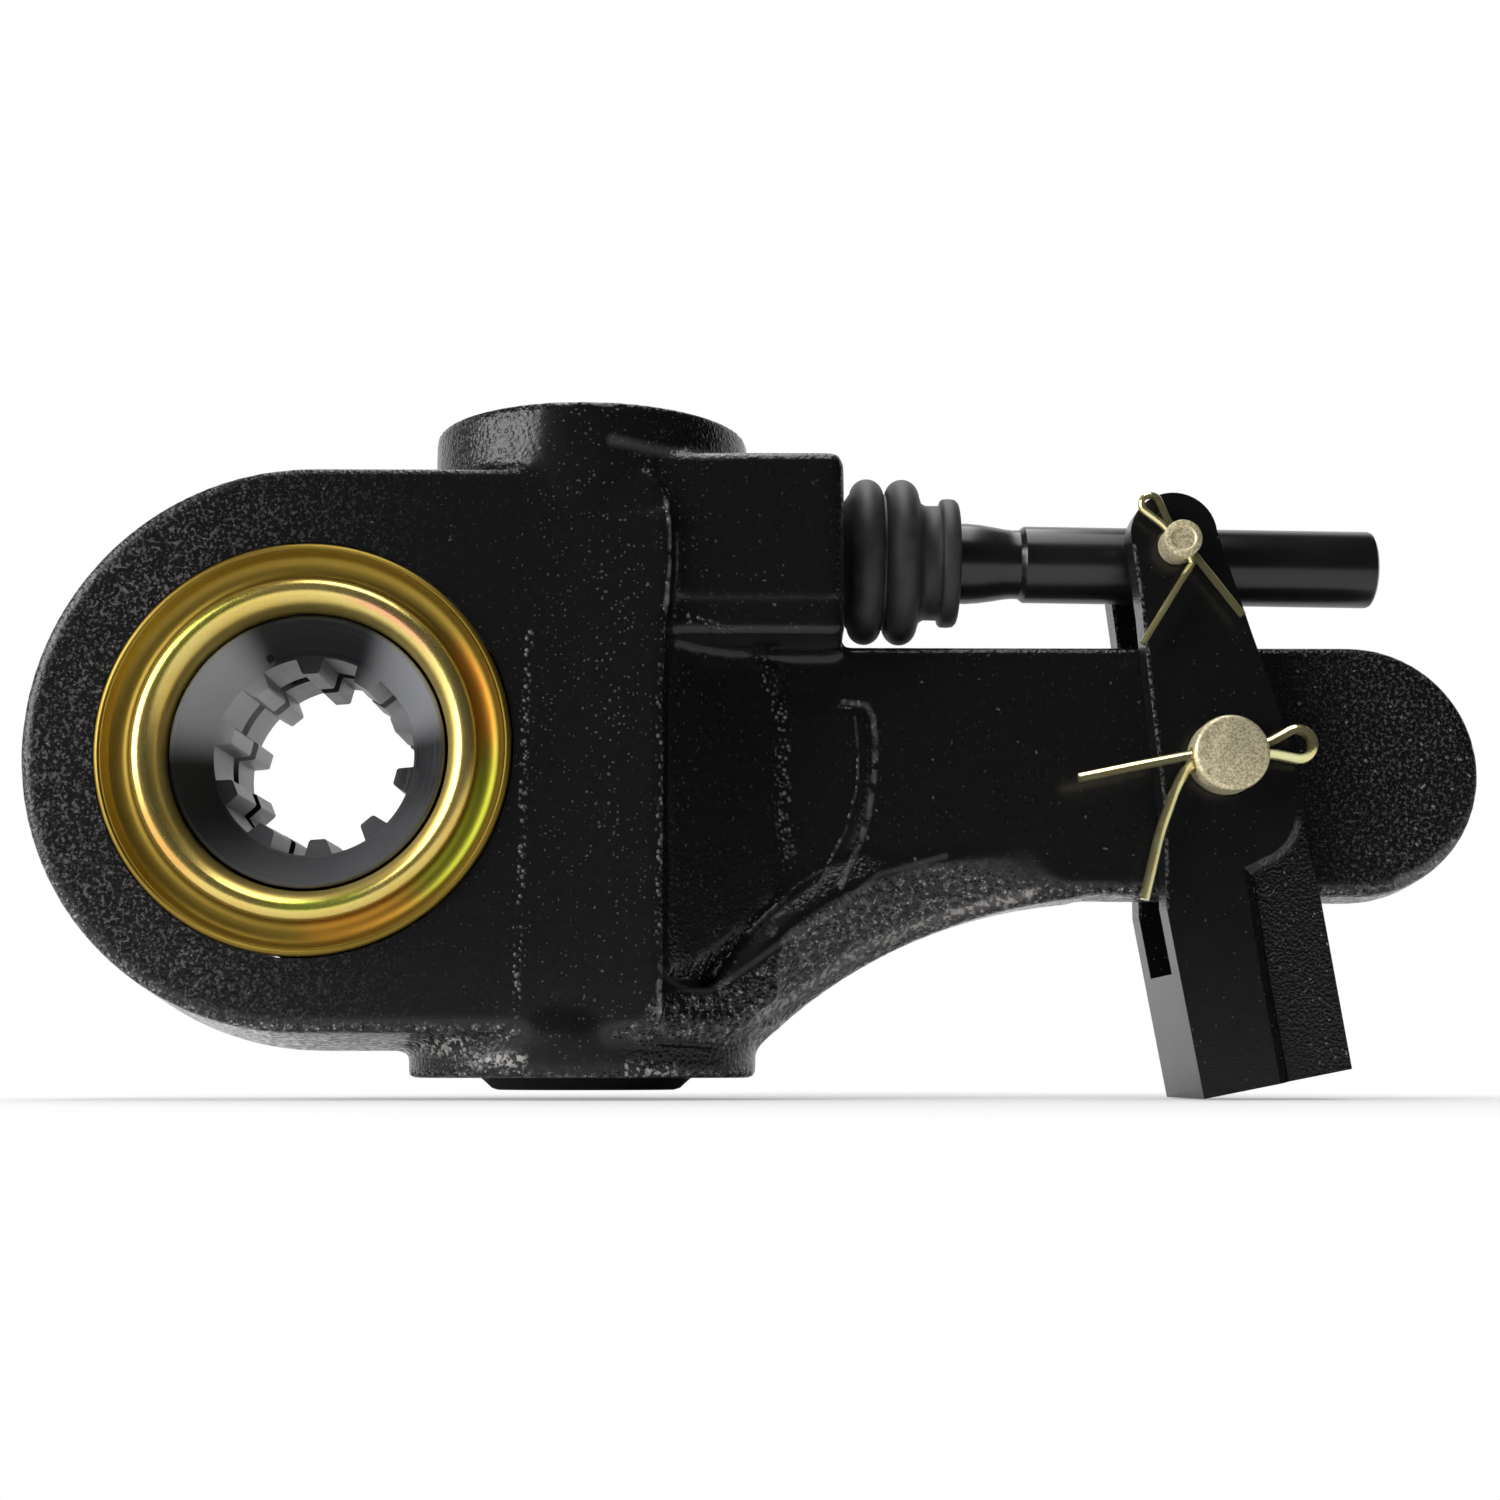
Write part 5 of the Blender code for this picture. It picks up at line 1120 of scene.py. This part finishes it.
# Clevis pins: headed steel pins with a pale zinc finish, grainy on their sawn front faces.
# The small one has a dished face, and a cross hole near each front end takes a cotter.


def pale_zinc():
    """Pale yellow zinc over a grainy end face."""
    plate = Finish("pale_zinc")
    grain = plate.noise(2600, 4.0, 0.75)
    stain = plate.ramp(plate.noise(260, 3.0, 0.6), 0.40, 0.65)
    return plate.set(
        Base_Color=plate.mix(plate.ramp(grain, 0.34, 0.62), (0.46, 0.38, 0.20), (0.98, 0.89, 0.62)),
        Metallic=0.62,
        Roughness=0.40 + stain * 0.16,
        Normal=plate.bump(grain, 0.00005, 0.7),
    )


zinc_face = pale_zinc()
pin_front = -0.0222
head_start = clevis_half + pin_play
cotter_y = -0.0192
large_cotter = (0.00092, -2.5)
small_cotter = (0.00060, -64.0)
for name, radius, head, height, lead, face in (
    ("large_clevis_pin", large_pin_r, 0.0090, 0.0, 0.0009,
     [(0, 0.0), (0.0052, 0.0), (0.0056, 0.00005)]),
    ("small_clevis_pin", small_pin_r, 0.0050, pin_spacing, 0.0004,
     [(0, 0.0005), (0.0019, 0.00035), (0.0022, 0.0)]),
):
    profile = [(r, pin_front + rise) for r, rise in face]
    profile += [(radius - lead * 0.5, pin_front + 0.0001), (radius - lead * 0.15, pin_front + lead * 0.4)]
    profile += [(radius, pin_front + lead), (radius, head_start), (head - 0.0003, head_start)]
    profile += [(head, head_start + 0.0003), (head, head_start + 0.0023)]
    profile.append((head - 0.0006, head_start + 0.0029))
    profile += [(head - 0.0014, head_start + 0.0030), (0, head_start + 0.0030)]
    pin = turned(name.replace("clevis_pin", "headed_pin"), profile, (0, 0, height), (0, 1, 0), 96)
    wire_r, degrees = large_cotter if height == 0.0 else small_cotter
    across = (math.cos(math.radians(degrees)), 0, math.sin(math.radians(degrees)))
    hole_r = 2 * wire_r + 0.0003
    hole = bore("cross_hole", hole_r, -0.02, 0.02, (0, cotter_y, height), across, 32)
    join_solids(pin, [hole], "DIFFERENCE")
    pin.data.transform(clevis_place)
    coat(pin, zinc_face, 40)
    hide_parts(name)
    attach(pin, "clevis")

# Cotter pins: half-round wire folded to an eye, yellow chromated, with the legs bent apart.
# Each leg is round outside and flat where it lay against the other.


def bend(points):
    """Round the corners of a path of points."""
    rounded = [Vector(points[0])]
    for before, corner, after in zip(points, points[1:], points[2:]):
        before, corner, after = Vector(before), Vector(corner), Vector(after)
        near = min((before - corner).length, (after - corner).length) * 0.3
        start = corner + (before - corner).normalized() * near
        end = corner + (after - corner).normalized() * near
        for k in range(9):
            t = k / 8
            rounded.append((1 - t) ** 2 * start + 2 * t * (1 - t) * corner + t * t * end)
    rounded.append(Vector(points[-1]))
    return rounded


def bright_wire():
    """Pale yellow chromate over bright drawn wire."""
    wire = Finish("bright_yellow_wire")
    film = wire.noise(260, 3.0, 0.55)
    return wire.set(
        Base_Color=wire.mix(wire.ramp(film, 0.35, 0.65), (0.98, 0.84, 0.40), (0.93, 0.91, 0.48)),
        Metallic=0.9,
        Roughness=0.13 + film * 0.08,
        Normal=wire.bump(wire.noise(2400, 2.0, 0.5), 0.00001, 0.5),
    )


cotter_finish = bright_wire()


def half_round_wire(name, path, thick):
    """Sweep a half-round section along a path in (x, z), with its flat side inwards."""
    section = [(thick * (math.sin(a) ** 0.8 - 0.5), thick * 0.72 * math.cos(a))
               for a in (math.pi * k / 10 for k in range(11))]
    loops = []
    for index, point in enumerate(path):
        ahead = path[min(index + 1, len(path) - 1)] - path[max(index - 1, 0)]
        ahead.normalize()
        left = Vector((-ahead.y, ahead.x))
        loops.append([
            ((point + left * out).x, deep, (point + left * out).y) for out, deep in section
        ])
    return skin(name, loops)


for name, (wire_r, degrees), height, eye_start, eye_middle, eye_r, first_leg, last_leg in (
    ("large_cotter_pin", large_cotter, 0.0, 0.0066, 0.0117, 0.0026,
     [(-0.0072, 0.0), (-0.0254, -0.0010)],
     [(-0.0072, 0.0), (-0.0098, -0.0036), (-0.0136, -0.0104), (-0.0180, -0.0208)]),
    ("small_cotter_pin", small_cotter, pin_spacing, -0.0040, -0.0081, 0.00165,
     [(0.0040, 0.0), (0.0047, -0.0020), (0.0098, -0.0154)],
     [(0.0040, 0.0), (0.0162, 0.0)]),
):
    split = wire_r * 0.97
    way = 1 if eye_start > 0 else -1
    path = [(along, across + way * split) for along, across in reversed(first_leg)]
    path.append((eye_start, way * split))
    for k in range(13):
        turn = math.radians(108 - 18 * k)
        path.append((eye_middle + way * eye_r * math.cos(turn), way * eye_r * math.sin(turn)))
    path.append((eye_start, -way * split))
    path += [(along, across - way * split) for along, across in last_leg]
    cotter = half_round_wire(name.replace("cotter_pin", "split_pin"), bend(path), wire_r * 1.75)
    cotter.data.transform(clevis_place @ Matrix.Translation((0, cotter_y, height))
                          @ Matrix.Rotation(-math.radians(degrees), 4, "Y"))
    coat(cotter, cotter_finish, 50)
    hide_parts(name)
    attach(cotter, "clevis")

# Grease fitting and relief plug on the rear of the worm housing.
# The fitting is bright steel with a ball tip, and the plug is a soft rubber button.

rear_face = cast_half + 0.0013
fitting_profile = [
    (0, 0.0192), (0.0035, 0.0192), (0.0035, rear_face), (0.0050, rear_face), (0.0052, rear_face + 0.0003),
    (0.0052, rear_face + 0.0033), (0.0048, rear_face + 0.0037), (0.0036, rear_face + 0.0040),
    (0.0031, rear_face + 0.0046), (0.0030, rear_face + 0.0072), (0.0033, rear_face + 0.0080),
    (0.0036, rear_face + 0.0090), (0.0035, rear_face + 0.0100), (0.0030, rear_face + 0.0108),
    (0.0018, rear_face + 0.0114), (0.0008, rear_face + 0.0115), (0.0006, rear_face + 0.0110),
    (0, rear_face + 0.0109),
]
button_profile = [
    (0, 0.0192), (0.0045, 0.0192), (0.0045, rear_face), (0.0060, rear_face), (0.0062, rear_face + 0.0003),
    (0.0062, rear_face + 0.0018), (0.0057, rear_face + 0.0027), (0.0048, rear_face + 0.0032),
    (0.0020, rear_face + 0.0034), (0, rear_face + 0.0034),
]
for node, new_name, profile, z, material, slot in (
    ("grease_fitting", "ball_fitting", fitting_profile, -0.030, bright_steel, "bright_steel"),
    ("relief_plug", "relief_button", button_profile, 0.006, boot_rubber, "black_rubber"),
):
    small = turned(new_name, profile, (worm_x + 0.001, 0, z), (0, 1, 0), 64)
    coat(small, material, 40)
    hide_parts(node)
    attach(small, "root")

# Studio: a pale floor, a white backdrop far behind, and soft boxes at the left and above.
# The camera stands low in front and looks slightly up, as the photograph does.

floor_z = -0.0568


def pale_paper():
    """White paper that fades into the backdrop away from the object, with its shadow kept."""
    paper = Finish("pale_paper")
    tooth = paper.noise(60, 2.0, 0.5)
    paper.set(
        Base_Color=paper.mix(tooth, (0.91, 0.91, 0.91), (0.94, 0.94, 0.94)), Roughness=0.9,
        Specular_IOR_Level=0.1,
    )
    from_middle = paper.vector("DISTANCE", paper.place, (0.075, 0, floor_z), output="Value")
    seen = paper.node("LightPath", {}, "Is Camera Ray")
    glow = paper.node("Emission", {"Color": (1, 1, 1), "Strength": 1.0})
    share = seen * paper.ramp(from_middle, 0.08, 0.20, 0.35, 1.0)
    lit = Value(paper.tree, paper.shader.outputs[0])
    blend = paper.node("MixShader", {0: share, 1: lit, 2: glow})
    paper.tree.links.new(blend.socket, paper.tree.nodes["Material Output"].inputs["Surface"])
    return paper.material


floor = skin("studio_floor", [
    [(x, y, floor_z - drop) for x, y in ((-0.7, -0.45), (0.85, -0.45), (0.85, 1.0), (-0.7, 1.0))]
    for drop in (0.004, 0.0)
])
floor.data.materials.append(pale_paper())

backdrop = bpy.data.worlds.new("studio")
bpy.context.scene.world = backdrop
backdrop.use_nodes = True
backdrop.node_tree.nodes.clear()
sky = Shading(backdrop.node_tree, "Generated")
behind = sky.ramp(sky.axis("Y"), 0.30, 0.70)
camera_ray = sky.node("LightPath", {}, "Is Camera Ray")
glossy_ray = sky.node("LightPath", {}, "Is Glossy Ray")
clear_ray = sky.node("LightPath", {}, "Is Transmission Ray")
seen = camera_ray.math("MINIMUM", camera_ray + clear_ray + glossy_ray * behind, 1.0)
room = 0.02 + behind * 0.45
light = sky.node("Background", {"Color": (1, 1, 1), "Strength": seen + (1 - seen) * room})
result = sky.tree.nodes.new("ShaderNodeOutputWorld")
sky.tree.links.new(light.socket, result.inputs["Surface"])

for name, spot, aim, size, power in (
    ("left_box", (-0.74, -0.43, 0.28), (0.03, 0, 0), (0.72, 0.60), 9.5),
    ("top_box", (0.05, 0.0, 0.95), (0.07, 0, 0), (1.2, 0.5), 7.5),
):
    data = bpy.data.lights.new(name, "AREA")
    data.shape = "RECTANGLE"
    data.size, data.size_y = size
    data.energy = power
    lamp = bpy.data.objects.new(name, data)
    lamp.location = spot
    lamp.rotation_euler = (Vector(aim) - Vector(spot)).to_track_quat("-Z", "Y").to_euler()
    bpy.context.collection.objects.link(lamp)

lens = bpy.data.cameras.new("camera")
lens.lens = 54.168
lens.sensor_width = 36
lens.clip_start = 0.01
camera = bpy.data.objects.new("camera", lens)
camera.location = (0.06953, -0.38991, -0.05255)
camera.rotation_euler = (math.radians(98.169), 0, math.radians(-0.5026))
bpy.context.collection.objects.link(camera)
bpy.context.scene.camera = camera
bpy.context.scene.view_settings.view_transform = "Standard"
